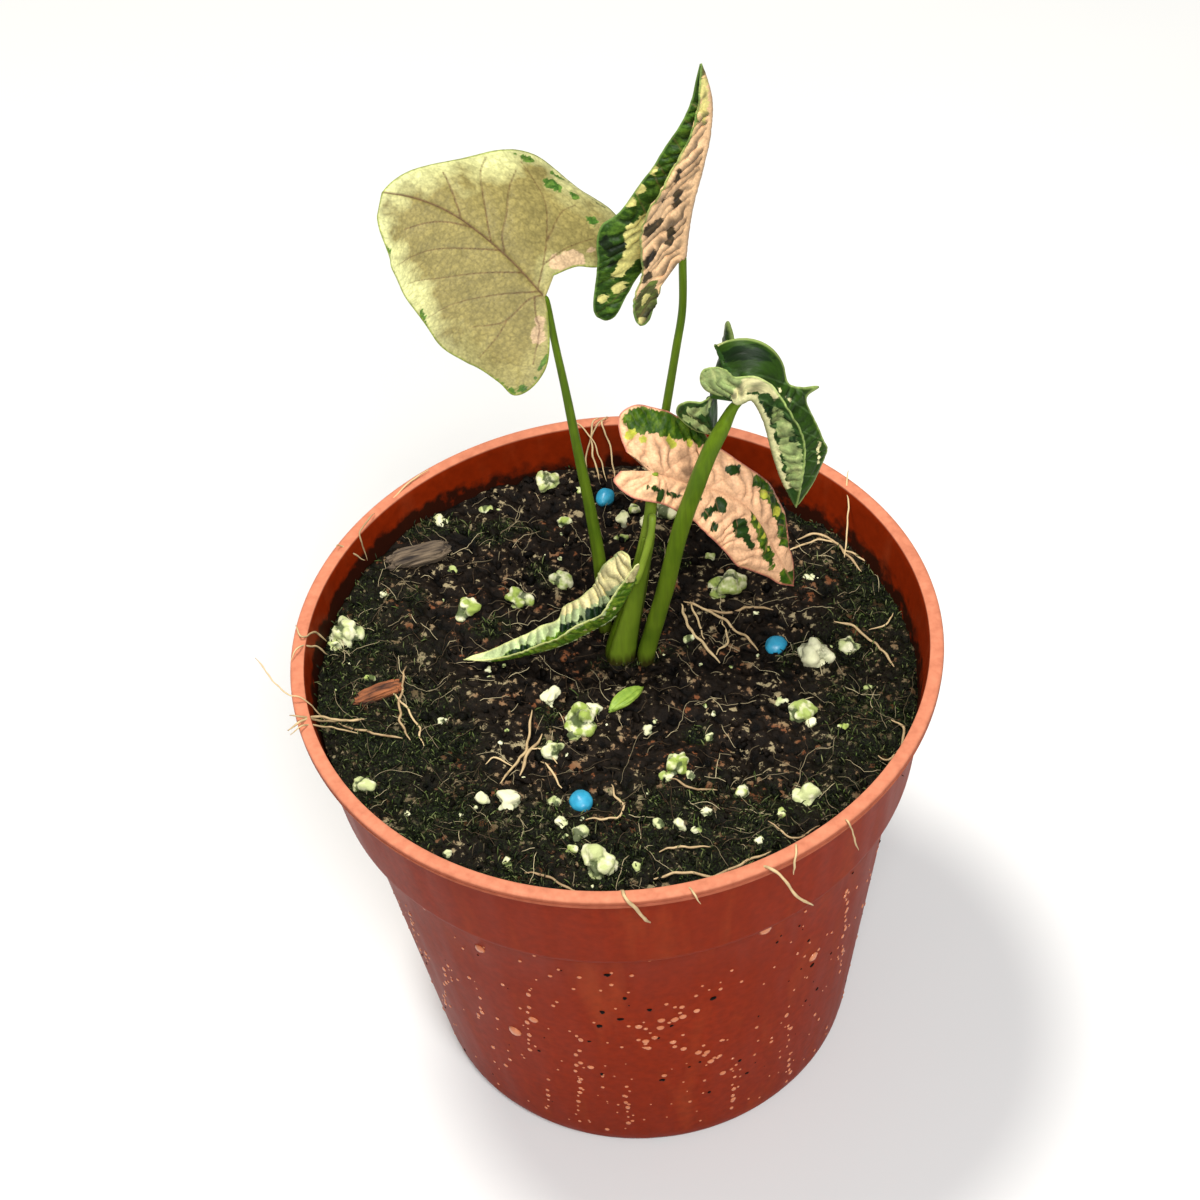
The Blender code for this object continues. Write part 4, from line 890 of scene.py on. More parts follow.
def make_water(sizes):
    draw = np.random.default_rng(sizes.seed + 1)
    heap = Heap()
    for (a0, z0), (a1, z1) in DROP_RUNS:
        count = int(abs(z0 - z1) / BEAD_SPACING)
        for share in np.linspace(0, 1, count):
            if draw.random() < MISSING_BEADS:
                continue
            z = z0 + (z1 - z0) * share + draw.normal(0, 0.4)
            a = a0 + (a1 - a0) * share + draw.normal(0, 0.35)
            heap.add(*bead(a, max(z, LOWEST_BEAD), draw.uniform(0.5, 1.25), draw.uniform(1.0, 1.5)))
    for a, z in DROP_CLUSTER:
        for _ in range(CLUSTER_BEADS):
            heap.add(*bead(a + draw.normal(0, 1.6), z + draw.normal(0, 1.5), draw.uniform(0.8, 1.7), 1.0))
    for a, z, size in BIG_DROPS:
        heap.add(*bead(a, z, size, 1.15))
    for _ in range(sizes.drop_count):
        a = draw.uniform(-180, 180)
        z = draw.uniform(*BEAD_HEIGHTS)
        heap.add(*bead(a, z, draw.gamma(3, 0.13) + 0.3, draw.uniform(0.9, 1.2)))
    settle(heap.make("water_beads", water()), "pot_plastic")
    heap = Heap("shade", "moss")
    spots = [(a + draw.normal(0, 0.5), z, draw.uniform(0.9, 1.5)) for a, z in SPECKS]
    for _ in range(sizes.speck_count):
        spots.append((draw.uniform(-180, 180), draw.uniform(*SPECK_HEIGHTS), draw.uniform(0.3, 0.9)))
    for a, z, size in spots:
        points, faces = bead(a, z, size, draw.uniform(0.6, 1.4))
        heap.add(points + 0.12 * size * rough(points, 0.5)[:, None], faces, shade=draw.uniform(0, 0.35))
    settle(heap.make("peat_specks", potting_peat()), "soil")


# Soil


def soil_height(points):
    """Height of the soil at places across the pot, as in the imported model."""
    level = SOIL_LEVEL - SOIL_SLOPE * points[:, 0]
    for width, height, layer in SOIL_FORMS:
        spots = np.column_stack([points / width, np.full(len(points), layer)])
        level = level + height * noise_at(spots)
    return level


def peat_height(points):
    """The soil's height with its grains and the pits between them."""
    level = soil_height(points)
    for width, height, layer in SOIL_GRAINS:
        near = grains(points, width, layer)[0]
        level = level + height * (dome(near, 0.85) - 0.55)
    width, height, layer = SOIL_GRIT
    return level + height * rough(points, width, layer)


def moss_share(points):
    """How green the soil is: mossy at the left, right and front edges and in patches."""
    x, y = points.T
    edges = [step_up(a * x + b * y, low, high) for a, b, low, high in MOSS_EDGES]
    cloud = rough(points, 9.0, 41.0)
    return np.clip(np.max(edges, axis=0) * (0.75 + 0.8 * cloud) + 0.9 * step_up(cloud, 0.25, 0.5), 0, 1)


def potting_peat():
    """Sphagnum peat, wet and sieved: painted nearly black as shade in the pits, dark brown on the
    grains with a few tan and reddish ones and painted glints on their tops, and a green film of
    algae and moss where light reaches the edges."""
    made, node, shader = new_material("sphagnum_peat_damp", IOR=1.38, Roughness=0.6, Specular_IOR_Level=0.12)
    place = node("TexCoord", out=3)
    shade = node("Attribute", out=2, attribute_name="shade")
    moss = node("Attribute", out=2, attribute_name="moss")
    # Grain of the peat, about 1.2 mm, threads of moss about 0.4 mm, and reddish clouds of 8 mm
    grain = node("TexNoise", {"Vector": place, "Scale": 800.0, "Detail": 5.0, "Roughness": 0.7})
    thread = node("TexNoise", {"Vector": place, "Scale": 2300.0, "Detail": 3.0, "Roughness": 0.7})
    cloud = node("TexNoise", {"Vector": place, "Scale": 120.0, "Detail": 2.0})
    # Darker where the shade attribute is low: painted shade in the pits between grains
    tone = node("Math", [grain, shade], operation="MULTIPLY")
    tone = node("MapRange", [tone, 0.16, 0.62])
    peat = node("Mix", {0: tone, 6: "#030201", 7: "#251C14"}, **MIX)
    warm = node("MapRange", [cloud, 0.42, 0.62])
    pale = node("Mix", {0: warm, 6: "#9C8E6C", 7: "#75462A"}, **MIX)
    # Pale flecks on the grain tops: partly tan and reddish bits of peat, partly painted glints
    ragged = node("Math", [grain, 2.0, -1.0], operation="MULTIPLY_ADD")
    ragged = node("Math", [ragged, shade], operation="ADD")
    dry = node("MapRange", [ragged, 0.91, 1.03, 0.0, 0.88])
    peat = node("Mix", {0: dry, 6: peat, 7: pale}, **MIX)
    green = node("MapRange", [thread, 0.5, 0.7])
    film = node("Mix", {0: green, 6: "#030501", 7: "#2F3C18"}, **MIX)
    cover = node("Math", [moss, 0.86], operation="MULTIPLY")
    base = node("Mix", {0: cover, 6: peat, 7: film}, **MIX)
    bump = node("Bump", {"Height": thread, "Distance": 0.0003, "Strength": 0.8})
    fill(shader, {"Base Color": base, "Normal": bump})
    return made


def soil_body(sizes):
    """Closed soil: its grainy top, a side that follows the wall, and a flat underside."""
    segments = 256
    flat = circle(segments)
    radius = np.array([inner_radius(z) for z in soil_height(flat * SOIL_REACH)]) - GAP
    rim = flat * radius[:, None]
    spots = np.arange(sizes.soil_points)
    reach = (SOIL_REACH - GAP - 1.0) * np.sqrt((spots + 0.5) / sizes.soil_points)
    inner = np.column_stack([np.cos(spots * GOLDEN_ANGLE), np.sin(spots * GOLDEN_ANGLE)]) * reach[:, None]
    places = np.vstack([rim, inner])
    made = geometry.delaunay_2d_cdt([Vector(p) for p in places], [], [], 0, 1e-5)
    top = np.column_stack([places, peat_height(places)])
    faces = [list(face) for face in made[2]]
    step = POT_HEIGHT - COLLAR_DEPTH
    floor = BASE_RISE + WALL + GAP
    rings = [
        (inner_radius(step + WALL + GAP) - GAP, step + WALL + GAP),
        (BODY_TOP_RADIUS - WALL - GAP, step - 0.6),
        (BASE_RADIUS - WALL - 0.8 - GAP, floor + 1.2),
        (BASE_RADIUS - CORNER - 1.0 - GAP, floor),
    ]
    points = [top]
    upper = 0
    start = len(top)
    for r, z in rings:
        points.append(np.column_stack([flat * r, np.full(segments, z)]))
        faces += ring_faces(upper, start, segments, down=True)
        upper = start
        start += segments
    faces.append([upper + i for i in reversed(range(segments))])
    return np.vstack(points), faces, len(top)


def crumb_shapes(draw):
    """Uneven grains of about unit size, as points and faces: finer ones first, then plainer ones."""
    shapes = []
    for i in range(2 * CRUMB_SHAPES):
        points, faces = ball(2 if i < CRUMB_SHAPES else 1)
        size = 1 + 0.7 * rough(points, 0.8, 5.0 * i) + 0.5 * rough(points, 0.35, 31.0 + i)
        shapes.append((points * size[:, None] * draw.uniform(0.5, 1.1, 3), faces))
    return shapes


def make_soil(sizes):
    draw = np.random.default_rng(sizes.seed + 2)
    peat = potting_peat()
    points, faces, top_count = soil_body(sizes)
    soil = add_piece("potting_peat", points, faces, peat)
    flat = points[:, :2]
    shade = np.zeros(len(flat))
    # Painted shade: the tone falls to 0 in the pits between grains and is highest on their tops
    for width, _, layer in SOIL_GRAINS:
        near, _, tone = grains(flat, width, layer)
        shade += dome(near, 0.85) * (0.25 + 0.4 * tone)
    shade[top_count:] = 0.4
    add_values(soil, "shade", shade)
    add_values(soil, "moss", moss_share(flat))
    settle(soil, "soil", "potting_soil")

    shapes = crumb_shapes(draw)
    heap = Heap("shade", "moss")
    count = sizes.crumb_count
    places = strewn(draw, CRUMB_REACH, count)
    heights = peat_height(places)
    mosses = moss_share(places)
    middle = 1 - step_up(np.abs(places[:, 0]), 22, 42)
    widths = np.sort(draw.gamma(*CRUMB_WIDTHS, count) + LEAST_CRUMB)[::-1]
    for i, (place, height, moss, centre, width) in enumerate(zip(places, heights, mosses, middle, widths)):
        size = min(width * (0.75 + 0.5 * centre), LARGEST_CRUMB) / SHAPE_WIDTH
        shape, shape_faces = shapes[(0 if i < count / 12 else CRUMB_SHAPES) + draw.integers(CRUMB_SHAPES)]
        body = shape * size @ turned_about(draw.uniform(0, 2 * math.pi, 3)).T
        body = body + (*place, height + 0.2 * size)
        tone = np.clip(draw.normal(0.45 + 0.12 * centre, 0.22), 0.05, 1)
        heap.add(body, shape_faces, shade=tone, moss=moss * draw.uniform(0.2, 1.0))
    settle(heap.make("peat_crumbs", peat), "soil")


def dried_fibre():
    """Coir and dead moss stems, dried: straw to grey-brown threads that catch the light."""
    made, node, shader = new_material("coir_fibre_dried", IOR=1.45, Roughness=0.7, Specular_IOR_Level=0.25)
    shade = node("Attribute", out=2, attribute_name="shade")
    moss = node("Attribute", out=2, attribute_name="moss")
    base = node("Mix", {0: shade, 6: "#3A2C1C", 7: "#C6B78E"}, **MIX)
    green = node("Mix", {0: shade, 6: "#060C03", 7: "#465C20"}, **MIX)
    base = node("Mix", {0: moss, 6: base, 7: green}, **MIX)
    fill(shader, {"Base Color": base})
    return made


def make_fibres(sizes):
    """Thin fibres strewn over the soil, and short green moss stems at its edges."""
    draw = np.random.default_rng(sizes.seed + 3)
    heap = Heap("shade", "moss")
    for _ in range(sizes.fibre_count):
        line = [*strewn(draw, FIBRE_REACH, 1)]
        heading = draw.uniform(0, 2 * math.pi)
        steps = draw.integers(2, 4) + int(draw.exponential(3.6))
        for _ in range(steps):
            heading += draw.normal(0, 0.2)
            line.append(line[-1] + FIBRE_STEP * np.array((math.cos(heading), math.sin(heading))))
        line = np.array(line)
        if np.max(np.hypot(*line.T)) > MOSS_REACH:
            continue
        thick = draw.uniform(*FIBRE_RADII)
        rise = np.abs(draw.normal(0, 0.5)) * np.sin(np.linspace(0, math.pi, len(line)))
        heights = peat_height(line) + 0.25 + rise
        path = np.column_stack([line, heights])
        thread = tube(path, thick * np.linspace(1, 0.6, len(path)), 4)
        heap.add(*thread, shade=draw.random() ** 2.4, moss=0.0)
    settle(heap.make("peat_fibres", dried_fibre()), "root")

    tufts = Heap("shade", "moss")
    count = sizes.moss_count
    places = strewn(draw, MOSS_REACH, 4 * count)
    places = places[moss_share(places) > draw.random(4 * count) * 0.9 + 0.1][:count]
    for place, height in zip(places, peat_height(places)):
        lean = draw.normal(0, 0.5, 2)
        tall = draw.uniform(0.5, 1.5)
        path = [(*place, height - 0.1), (*(place + lean * 0.4 * tall), height + 0.5 * tall),
                (*(place + lean * tall), height + 0.8 * tall)]
        stem = tube(path, np.array((0.11, 0.13, 0.05)), 4)
        tufts.add(*stem, shade=draw.random() ** 2.2, moss=draw.uniform(0.75, 1))
    settle(tufts.make("moss_stems", dried_fibre()), "soil")


# Perlite, pellets, chips and roots


def lump_frame(place, size, seed, lift):
    """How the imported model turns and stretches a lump: its noise offset, its matrix and its place."""
    draw = random.Random(seed)
    offset = np.array([draw.uniform(0, 50) for _ in range(3)])
    stretch = Matrix.Diagonal((1, draw.uniform(0.75, 0.95), draw.uniform(0.7, 0.85), 1))
    turn = Matrix.Rotation(draw.uniform(0, math.pi), 4, "Z")
    matrix = np.array((turn @ stretch).to_3x3()) * size / 2
    x, y = place
    height = soil_height(np.array([place], float))[0]
    return offset, matrix, np.array((x, y, height + lift * size))


def lump_points(place, size, seed, kind, points, grain, lobes=None):
    """A lump's points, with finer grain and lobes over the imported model's form."""
    uneven, lift = kind
    offset, matrix, centre = lump_frame(place, size, seed, lift)
    swell = 1 + uneven * noise_at(points * 1.3 + offset)
    for width, height in grain:
        swell = swell + height * rough(points, width, seed + 3.0)
    if lobes is not None:
        swell = swell * (0.7 + 0.42 * lobes)
    return points * swell[:, None] @ matrix.T + centre


def lobe_heights(points, count, draw):
    """Height from 0 to 1 of a cluster of round lobes on a unit ball."""
    middles = unit(draw.normal(size=(count, 3)))
    gaps = np.linalg.norm(points[:, None, :] - middles[None, :, :], axis=2)
    return dome(gaps.min(axis=1), 1.9 / math.sqrt(count) + 0.12)


def expanded_perlite():
    """Perlite, expanded by heat: chalky froth of tiny bubbles, cream, stained yellow-green by algae,
    with painted shade in the pits between its lobes."""
    made, node, shader = new_material("perlite_expanded", IOR=1.5, Roughness=0.85)
    place = node("TexCoord", out=3)
    pit = node("Attribute", out=2, attribute_name="pit")
    algae = node("Attribute", out=2, attribute_name="algae")
    # Bubbles about 0.7 mm wide
    froth = node("TexNoise", {"Vector": place, "Scale": 1500.0, "Detail": 4.0})
    stain = node("TexNoise", {"Vector": place, "Scale": 520.0, "Detail": 2.0})
    tone = node("MapRange", [stain, 0.36, 0.56])
    tone = node("Math", [tone, algae], operation="MULTIPLY")
    base = node("Mix", {0: tone, 6: "#E0DDB6", 7: "#8FA146"}, **MIX)
    # Painted shade: the pits between the lobes are painted dark green
    low = node("Math", [froth, pit], operation="MULTIPLY")
    low = node("MapRange", [low, 0.16, 0.4, 0.0, 0.92])
    base = node("Mix", {0: low, 6: base, 7: "#35431A"}, **MIX)
    bump = node("Bump", {"Height": froth, "Distance": 0.0002, "Strength": 0.7})
    fill(shader, {"Base Color": base, "Normal": bump})
    return made


def make_perlite(sizes):
    draw = np.random.default_rng(sizes.seed + 4)
    froth = expanded_perlite()
    points, faces = ball(4)
    for i, (x, y, size) in enumerate(PERLITE):
        seed = LUMP_SEED + i
        lobes = lobe_heights(points, draw.integers(9, 16), draw)
        body = lump_points((x, y), size, seed, PERLITE_LUMP, points, PERLITE_FROTH, lobes)
        grit = add_piece(f"perlite_grain_{i + 1}", body, faces, froth)
        clean = i in CLEAN_PERLITE
        add_values(grit, "pit", (1 - lobes) * (0.55 if clean else 1.0))
        add_values(grit, "algae", np.full(len(points), 0.15 if clean else draw.uniform(0.6, 1.1)))
        settle(grit, "perlite", f"perlite_{i + 1}")
    heap = Heap("pit", "algae")
    spots = list(PERLITE_GRAINS)
    for _ in range(sizes.grit_count):
        spots.append((*strewn(draw, GRIT_REACH, 1)[0], draw.uniform(0.5, 1.3)))
    finer, plainer = ball(3), ball(2)
    for i, (x, y, size) in enumerate(spots):
        shape, shape_faces = finer if size > 1.6 else plainer
        lobes = lobe_heights(shape, draw.integers(3, 8), draw)
        body = lump_points((x, y), size, 100 + i, PERLITE_LUMP, shape, PERLITE_FROTH, lobes)
        heap.add(body, shape_faces, pit=1 - lobes, algae=draw.uniform(0.3, 1.0))
    settle(heap.make("perlite_grit", froth), "perlite")


def prilled_fertiliser():
    """Fertiliser prills with a resin coat: smooth blue beads, darker towards the bottom."""
    made, node, shader = new_material("fertiliser_resin_coated", IOR=1.5, Roughness=0.38)
    place = node("TexCoord", out=3)
    low_darkening = node("Attribute", out=2, attribute_name="low_darkening")
    mottle = node("TexNoise", {"Vector": place, "Scale": 700.0, "Detail": 3.0})
    base = node("Mix", {0: mottle, 6: "#0C6F96", 7: "#3AA6C4"}, **MIX)
    darkening = node("Math", [low_darkening, mottle], operation="MULTIPLY")
    darkening = node("MapRange", [darkening, 0.2, 0.36, 0.0, 0.9])
    base = node("Mix", {0: darkening, 6: base, 7: "#1C1A16"}, **MIX)
    bump = node("Bump", {"Height": mottle, "Distance": 0.0001, "Strength": 0.4})
    fill(shader, {"Base Color": base, "Normal": bump})
    return made


def make_pellets():
    coat = prilled_fertiliser()
    points, faces = ball(4)
    for i, (x, y, size) in enumerate(PELLETS):
        seed = LUMP_SEED + i
        body = lump_points((x, y), size, seed, PELLET_LUMP, points, ((0.5, 0.03), (0.2, 0.015)))
        # Darker towards the bottom of each prill
        low_darkening = step_up(-points[:, 2] + 0.5 * rough(points, 0.6, seed), -0.35, 0.45)
        prill = add_piece(f"fertiliser_prill_{i + 1}", body, faces, coat)
        add_values(prill, "low_darkening", low_darkening)
        settle(prill, "pellet", f"fertiliser_pellet_{i + 1}")


def weathered_bark(state, dark, light):
    """Pine bark, torn: layers in stripes along the grain, grey where it is weathered and rusty
    where it has rotted."""
    made, node, shader = new_material(f"pine_bark_{state}", IOR=1.45, Roughness=0.85)
    across = node("Attribute", out=1, attribute_name="grain_place")
    # Layers about 0.7 mm thick, drawn out along the grain
    stretch = node("Mapping", {"Vector": across, "Scale": (0.12, 1.0, 1.0)})
    layer = node("TexNoise", {"Vector": stretch, "Scale": 1.5, "Detail": 4.0})
    base = node("MapRange", [layer, 0.36, 0.64])
    base = node("Mix", {0: base, 6: dark, 7: light}, **MIX)
    bump = node("Bump", {"Height": layer, "Distance": 0.0005, "Strength": 0.9})
    fill(shader, {"Base Color": base, "Normal": bump})
    return made


def torn_leaf():
    """A scrap of leaf, fresh and torn: yellow-green with a darker fold."""
    made, node, shader = new_material("leaf_scrap_torn", IOR=1.45, Roughness=0.5)
    across = node("Attribute", out=1, attribute_name="grain_place")
    vein = node("TexNoise", {"Vector": across, "Scale": 0.9, "Detail": 3.0})
    base = node("Mix", {0: vein, 6: "#48701A", 7: "#A4BC48"}, **MIX)
    fill(shader, {"Base Color": base})
    return made


def make_chips():
    finishes = {
        "bark_chip_1": weathered_bark("weathered", "#241B14", "#6E5E4A"),
        "bark_chip_2": weathered_bark("rotted", "#30170B", "#9A5B34"),
        "leaf_scrap": torn_leaf(),
    }
    points, faces = ball(5)
    for i, (name, (x, y, *size, turn)) in enumerate(CHIPS.items()):
        height = soil_height(np.array([(x, y)], float))[0]
        flat = np.sign(points[:, :2]) * np.abs(points[:, :2]) ** CHIP_SQUARENESS
        body = np.column_stack([flat, points[:, 2]])
        spread = body * (1, 5, 3)
        body = body * (0.98 + 0.1 * rough(body, 0.5, i + 1.0) + 0.05 * rough(spread, 0.5, i + 7.0))[:, None]
        body[:, 2] += 0.35 * rough(spread, 0.9, i + 3.0)
        body = body * np.array(size) / 2
        if name == "leaf_scrap":
            body[:, 1] *= 1.15 - 0.95 * (2 * body[:, 0] / size[0]) ** 2
            body[:, 2] += 0.5 * np.abs(body[:, 1]) + 0.5
        else:
            ragged = np.sign(body[:, 0]) * step_up(np.abs(body[:, 0]), size[0] * 0.3, size[0] * 0.5)
            splinters = np.column_stack([body[:, 1:] * (2, 3), body[:, :1] * 0.1])
            body[:, 0] += ragged * 1.1 * rough(splinters, 1.2, i)
        spin = np.array(Matrix.Rotation(math.radians(turn), 3, "Z"))
        placed = body @ spin.T + (x, y, height + size[2] * CHIP_LIFT)
        piece = add_piece(f"{name}_split", placed, faces, finishes[name])
        add_values(piece, "grain_place", body)
        settle(piece, "scrap" if name == "leaf_scrap" else "bark", name)


def dead_root():
    """Roots, dried on the soil: tan skin, darker in places, with a papery grain."""
    made, node, shader = new_material("dead_root_dried", IOR=1.45, Roughness=0.65)
    place = node("TexCoord", out=3)
    shade = node("Attribute", out=2, attribute_name="shade")
    skin = node("TexNoise", {"Vector": place, "Scale": 600.0, "Detail": 4.0})
    tone = node("Math", [skin, shade], operation="ADD")
    tone = node("MapRange", [tone, 0.55, 1.35])
    base = node("Mix", {0: tone, 6: "#6A4C2E", 7: "#C8AE80"}, **MIX)
    bump = node("Bump", {"Height": skin, "Distance": 0.0002, "Strength": 0.6})
    fill(shader, {"Base Color": base, "Normal": bump})
    return made


def root_path(line, radius, seed, step=0.5):
    """A root that wanders a little on its way over the peat."""
    line = smooth_line(line)
    places = along(line, np.arange(0, reach_of(line)[-1], step))
    wander = [rough_row(len(places), seed, 5.0, layer) for layer in (1.0, 2.0)]
    places = places + 0.5 * np.column_stack(wander)
    height = peat_height(places)
    smooth = np.convolve(np.pad(height, 3, "edge"), np.ones(7) / 7, "valid")
    height = np.maximum(height, smooth) * 0.5 + smooth * 0.5
    return np.column_stack([places, height + radius * 0.8 + GAP])


def taper(count, radius, seed):
    """A root's radius along it, uneven and thinner at both ends."""
    index = np.arange(count)
    ends = np.clip(np.minimum(index, count - 1 - index) / 5, 0, 1) * 0.6 + 0.4
    return radius * ends * (1 + 0.25 * rough_row(count, seed, 3.0, 9.0))


def make_roots(sizes):
    skin = dead_root()
    for i, route in enumerate(ROOTS):
        path = root_path(route, ROOT_RADIUS, i + 1.0)
        heap = Heap("shade")
        heap.add(*tube(path, taper(len(path), ROOT_RADIUS * 0.55, i + 1.0), 8), shade=0.6)
        settle(heap.make(f"root_dried_{i + 1}", skin), "root", f"root_{i + 1}")
    heap = Heap("shade")
    draw = np.random.default_rng(sizes.seed + 5)
    for i, (radius, route) in enumerate(FINE_ROOTS):
        path = root_path(route, radius, 20.0 + i)
        heap.add(*tube(path, taper(len(path), radius, 20.0 + i), 6), shade=draw.uniform(0.3, 1.0))
    settle(heap.make("rootlets", skin), "root")
    heap = Heap("shade")
    for i, (radius, route) in enumerate(RIM_ROOTS):
        line = smooth_line(route)
        path = along(line, np.arange(0, reach_of(line)[-1], 0.5))
        path = path + 0.25 * np.column_stack([rough(path, 2.2, 3.0 * k + i) for k in range(3)])
        heap.add(*tube(path, taper(len(path), radius * 0.8, 40.0 + i), 6), shade=draw.uniform(0.5, 1.1))
    settle(heap.make("rim_roots", skin), "root")


# Leaves


def turning(directions, share):
    """The direction at each share of the way through a row of directions."""
    row = smooth_line(directions, 8)
    places = np.linspace(0, 1, len(row))
    return np.stack([np.interp(share, places, row[:, k]) for k in range(3)], -1)


def half_of(leaf, hand):
    return leaf["right" if hand > 0 else "left"]


def rib_length(leaf):
    return reach_of(smooth_line(leaf["midrib"]))[-1]


def margin_of(leaf, hand):
    """A half's margin from the tip round to the notch, as a dense row of flat points."""
    return smooth_line([(rib_length(leaf), 0), *half_of(leaf, hand)["margin"]])


def blade_surface(leaf, hand, a, b):
    """Places flat leaf points in space. a runs along the midrib and b out from it."""
    half = half_of(leaf, hand)
    rib = smooth_line(leaf["midrib"])
    length = reach_of(rib)[-1]
    ahead = np.clip(a, 0, length)
    before = along(rib, np.clip(ahead - TANGENT_REACH, 0, length))
    after = along(rib, np.clip(ahead + TANGENT_REACH, 0, length))
    tangent = unit(after - before)
    side = turning(half["side"], ahead / length)
    side = unit(side - np.sum(side * tangent, -1, keepdims=True) * tangent)
    if "behind" in half:
        back = np.clip(-a / LOBE_TURN, 0, 1)
        rolled = unit(turning([half["side"][0], *half["behind"]], back))
        side = np.where(a[..., None] < 0, rolled, side)
    up = np.cross(side, tangent) * hand
    bend = half.get("curl", 0) + 1e-6
    out = np.sin(bend * b) / bend
    lift = (1 - np.cos(bend * b)) / bend
    behind = np.minimum(a, 0)
    spread = side * out[..., None] + up * lift[..., None]
    return along(rib, ahead) + spread - unit(half["lobe"]) * behind[..., None]


def half_outline(leaf, hand, spacing):
    """A half's flat outline, up the midrib and back round the margin, and its midrib points."""
    length = rib_length(leaf)
    margin = margin_of(leaf, hand)
    reach = reach_of(margin)[-1]
    midrib_steps = math.ceil(length / spacing)
    margin_steps = math.ceil(reach / spacing)
    midrib = [(a, 0.0) for a in np.linspace(0, length, midrib_steps + 1)]
    rest = along(margin, np.linspace(0, reach, margin_steps + 1)[1:])
    return np.vstack([midrib, rest]), midrib_steps + 1


def nearest_on(line, points):
    """Distance from each point to a row of points, and how far along the row its nearest place is."""
    starts, spans = line[:-1], np.diff(line, axis=0)
    squares = np.maximum(np.sum(spans**2, -1), 1e-12)
    best_gap = np.full(len(points), 1e9)
    best_reach = np.zeros(len(points))
    reach = reach_of(line)
    for i, (start, span, square) in enumerate(zip(starts, spans, squares)):
        offset = points - start
        share = np.clip(offset @ span / square, 0, 1)
        gap = np.linalg.norm(offset - share[:, None] * span, axis=1)
        closer = gap < best_gap
        best_gap[closer] = gap[closer]
        best_reach[closer] = (reach[i] + share * (reach[i + 1] - reach[i]))[closer]
    return best_gap, best_reach


def inside_points(outline, spacing):
    """Points of a triangular grid that lie inside the outline and clear of it."""
    low, high = outline.min(0), outline.max(0)
    step = spacing * math.sqrt(3) / 2
    points = []
    for i, b in enumerate(np.arange(low[1] + step, high[1], step)):
        points.extend((a + spacing / 2 * (i % 2), b) for a in np.arange(low[0], high[0], spacing))
    points = np.array(points)
    ends = np.roll(outline, -1, axis=0)
    count = np.zeros(len(points), int)
    for (a0, b0), (a1, b1) in zip(outline, ends):
        if abs(b1 - b0) < 1e-9:
            continue
        crosses = (points[:, 1] < b0) != (points[:, 1] < b1)
        count += crosses & (points[:, 0] < a0 + (points[:, 1] - b0) * (a1 - a0) / (b1 - b0))
    points = points[count % 2 == 1]
    gap = nearest_on(np.vstack([outline, outline[:1]]), points)[0]
    return points[gap > EDGE_CLEARANCE * spacing]


def margin_share(leaf, hand, flat):
    """Distance from flat points to the margin, and how far round it the nearest place is."""
    margin = margin_of(leaf, hand)
    gap, place = nearest_on(margin, flat)
    return gap, place / reach_of(margin)[-1]


def ruffle_height(leaf, hand, flat, gap, share):
    """The waves at the margin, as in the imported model."""
    depth = np.clip(1 - gap / RUFFLE_DEPTH, 0, 1)
    swell, waves = leaf["ruffle"]
    height = swell * np.minimum(1, flat[:, 1] / RUFFLE_DEPTH) * depth**2 * np.sin(math.pi * share)
    return height * np.sin(2 * math.pi * waves * share + hand)


def field(name, layer, hand, flat):
    """How far inside a leaf's patches of one layer each point lies, in millimetres."""
    inside = np.full(len(flat), -6.0)
    for side, width, line in PATCHES[name][layer]:
        if side != hand:
            continue
        line = np.array(line if len(line) > 1 else [line[0], (line[0][0] + 0.01, line[0][1])], float)
        inside = np.maximum(inside, width - nearest_on(line, flat)[0])
    return np.clip(inside, -6, 6)


def vein_lines(name, hand):
    """A half's side veins: those listed, or else veins that leave the midrib and bend towards the
    tip before the margin, with one that turns back into the lobe."""
    if name in VEINS:
        return [smooth_line(line, 6) for line in VEINS[name][hand]]
    leaf = LEAVES[name]
    length = rib_length(leaf)
    widest = max(b for _, b in half_of(leaf, hand)["margin"])
    draw = random.Random(name)
    b = np.linspace(0, widest * 1.1, 12)
    lines = []
    for i in range(SIDE_VEINS):
        start = length * (0.02 + 0.86 * (i + draw.uniform(-0.25, 0.25)) / SIDE_VEINS)
        a = start + (WORKING[name]["slope"] + draw.uniform(-0.12, 0.12)) * b + 0.035 * b**2
        lines.append(np.column_stack([a, b]))
    lines.append(smooth_line([(0, 0.4), (-2, widest * 0.25), (-6, widest * 0.5), (-13, widest * 0.8)], 5))
    return lines


def vein_distance(lines, flat):
    best = np.full(len(flat), 1e9)
    for line in lines:
        best = np.minimum(best, nearest_on(line, flat)[0])
    return best


# How each leaf is worked: spacing of its points, how far forward its side veins lean, where they
# aren't listed, depth of the grooves over veins, height of the pillows between them, the net of
# small veins as a cell width, a stretch and a height, and the crosswise crinkles as a height on the
# right and on the left, a length and a slant
WORKING = {
    "pale": {
        "spacing": 0.34, "groove": 0.09, "pillow": 0.1, "net": (0.95, 0.75, 0.05),
        "crinkle": (0, 0, 2, 0),
    },
    "upright": {
        "spacing": 0.27, "slope": 0.7, "groove": 0.08, "pillow": 0.08, "net": (1.1, 0.8, 0.08),
        "crinkle": (0.5, 0.25, 2.3, 0.55),
    },
    "nodding": {
        "spacing": 0.25, "slope": 0.6, "groove": 0.1, "pillow": 0.12, "net": (1, 0.8, 0.08),
        "crinkle": (0.36, 0.22, 1.9, 0.3),
    },
    "pink": {
        "spacing": 0.26, "slope": 0.7, "groove": 0.12, "pillow": 0.25, "net": (1.4, 0.7, 0.1),
        "crinkle": (0.22, 0.3, 2.6, 0.6),
    },
    "young": {
        "spacing": 0.25, "slope": 0.7, "groove": 0.06, "pillow": 0.08, "net": (1, 0.8, 0.06),
        "crinkle": (0.15, 0.4, 2.2, 0.35),
    },
}
BLADE_THICKNESS = 0.42
MIDRIB_THICKNESS = 0.85
UNDULATION = (8.0, 0.45)


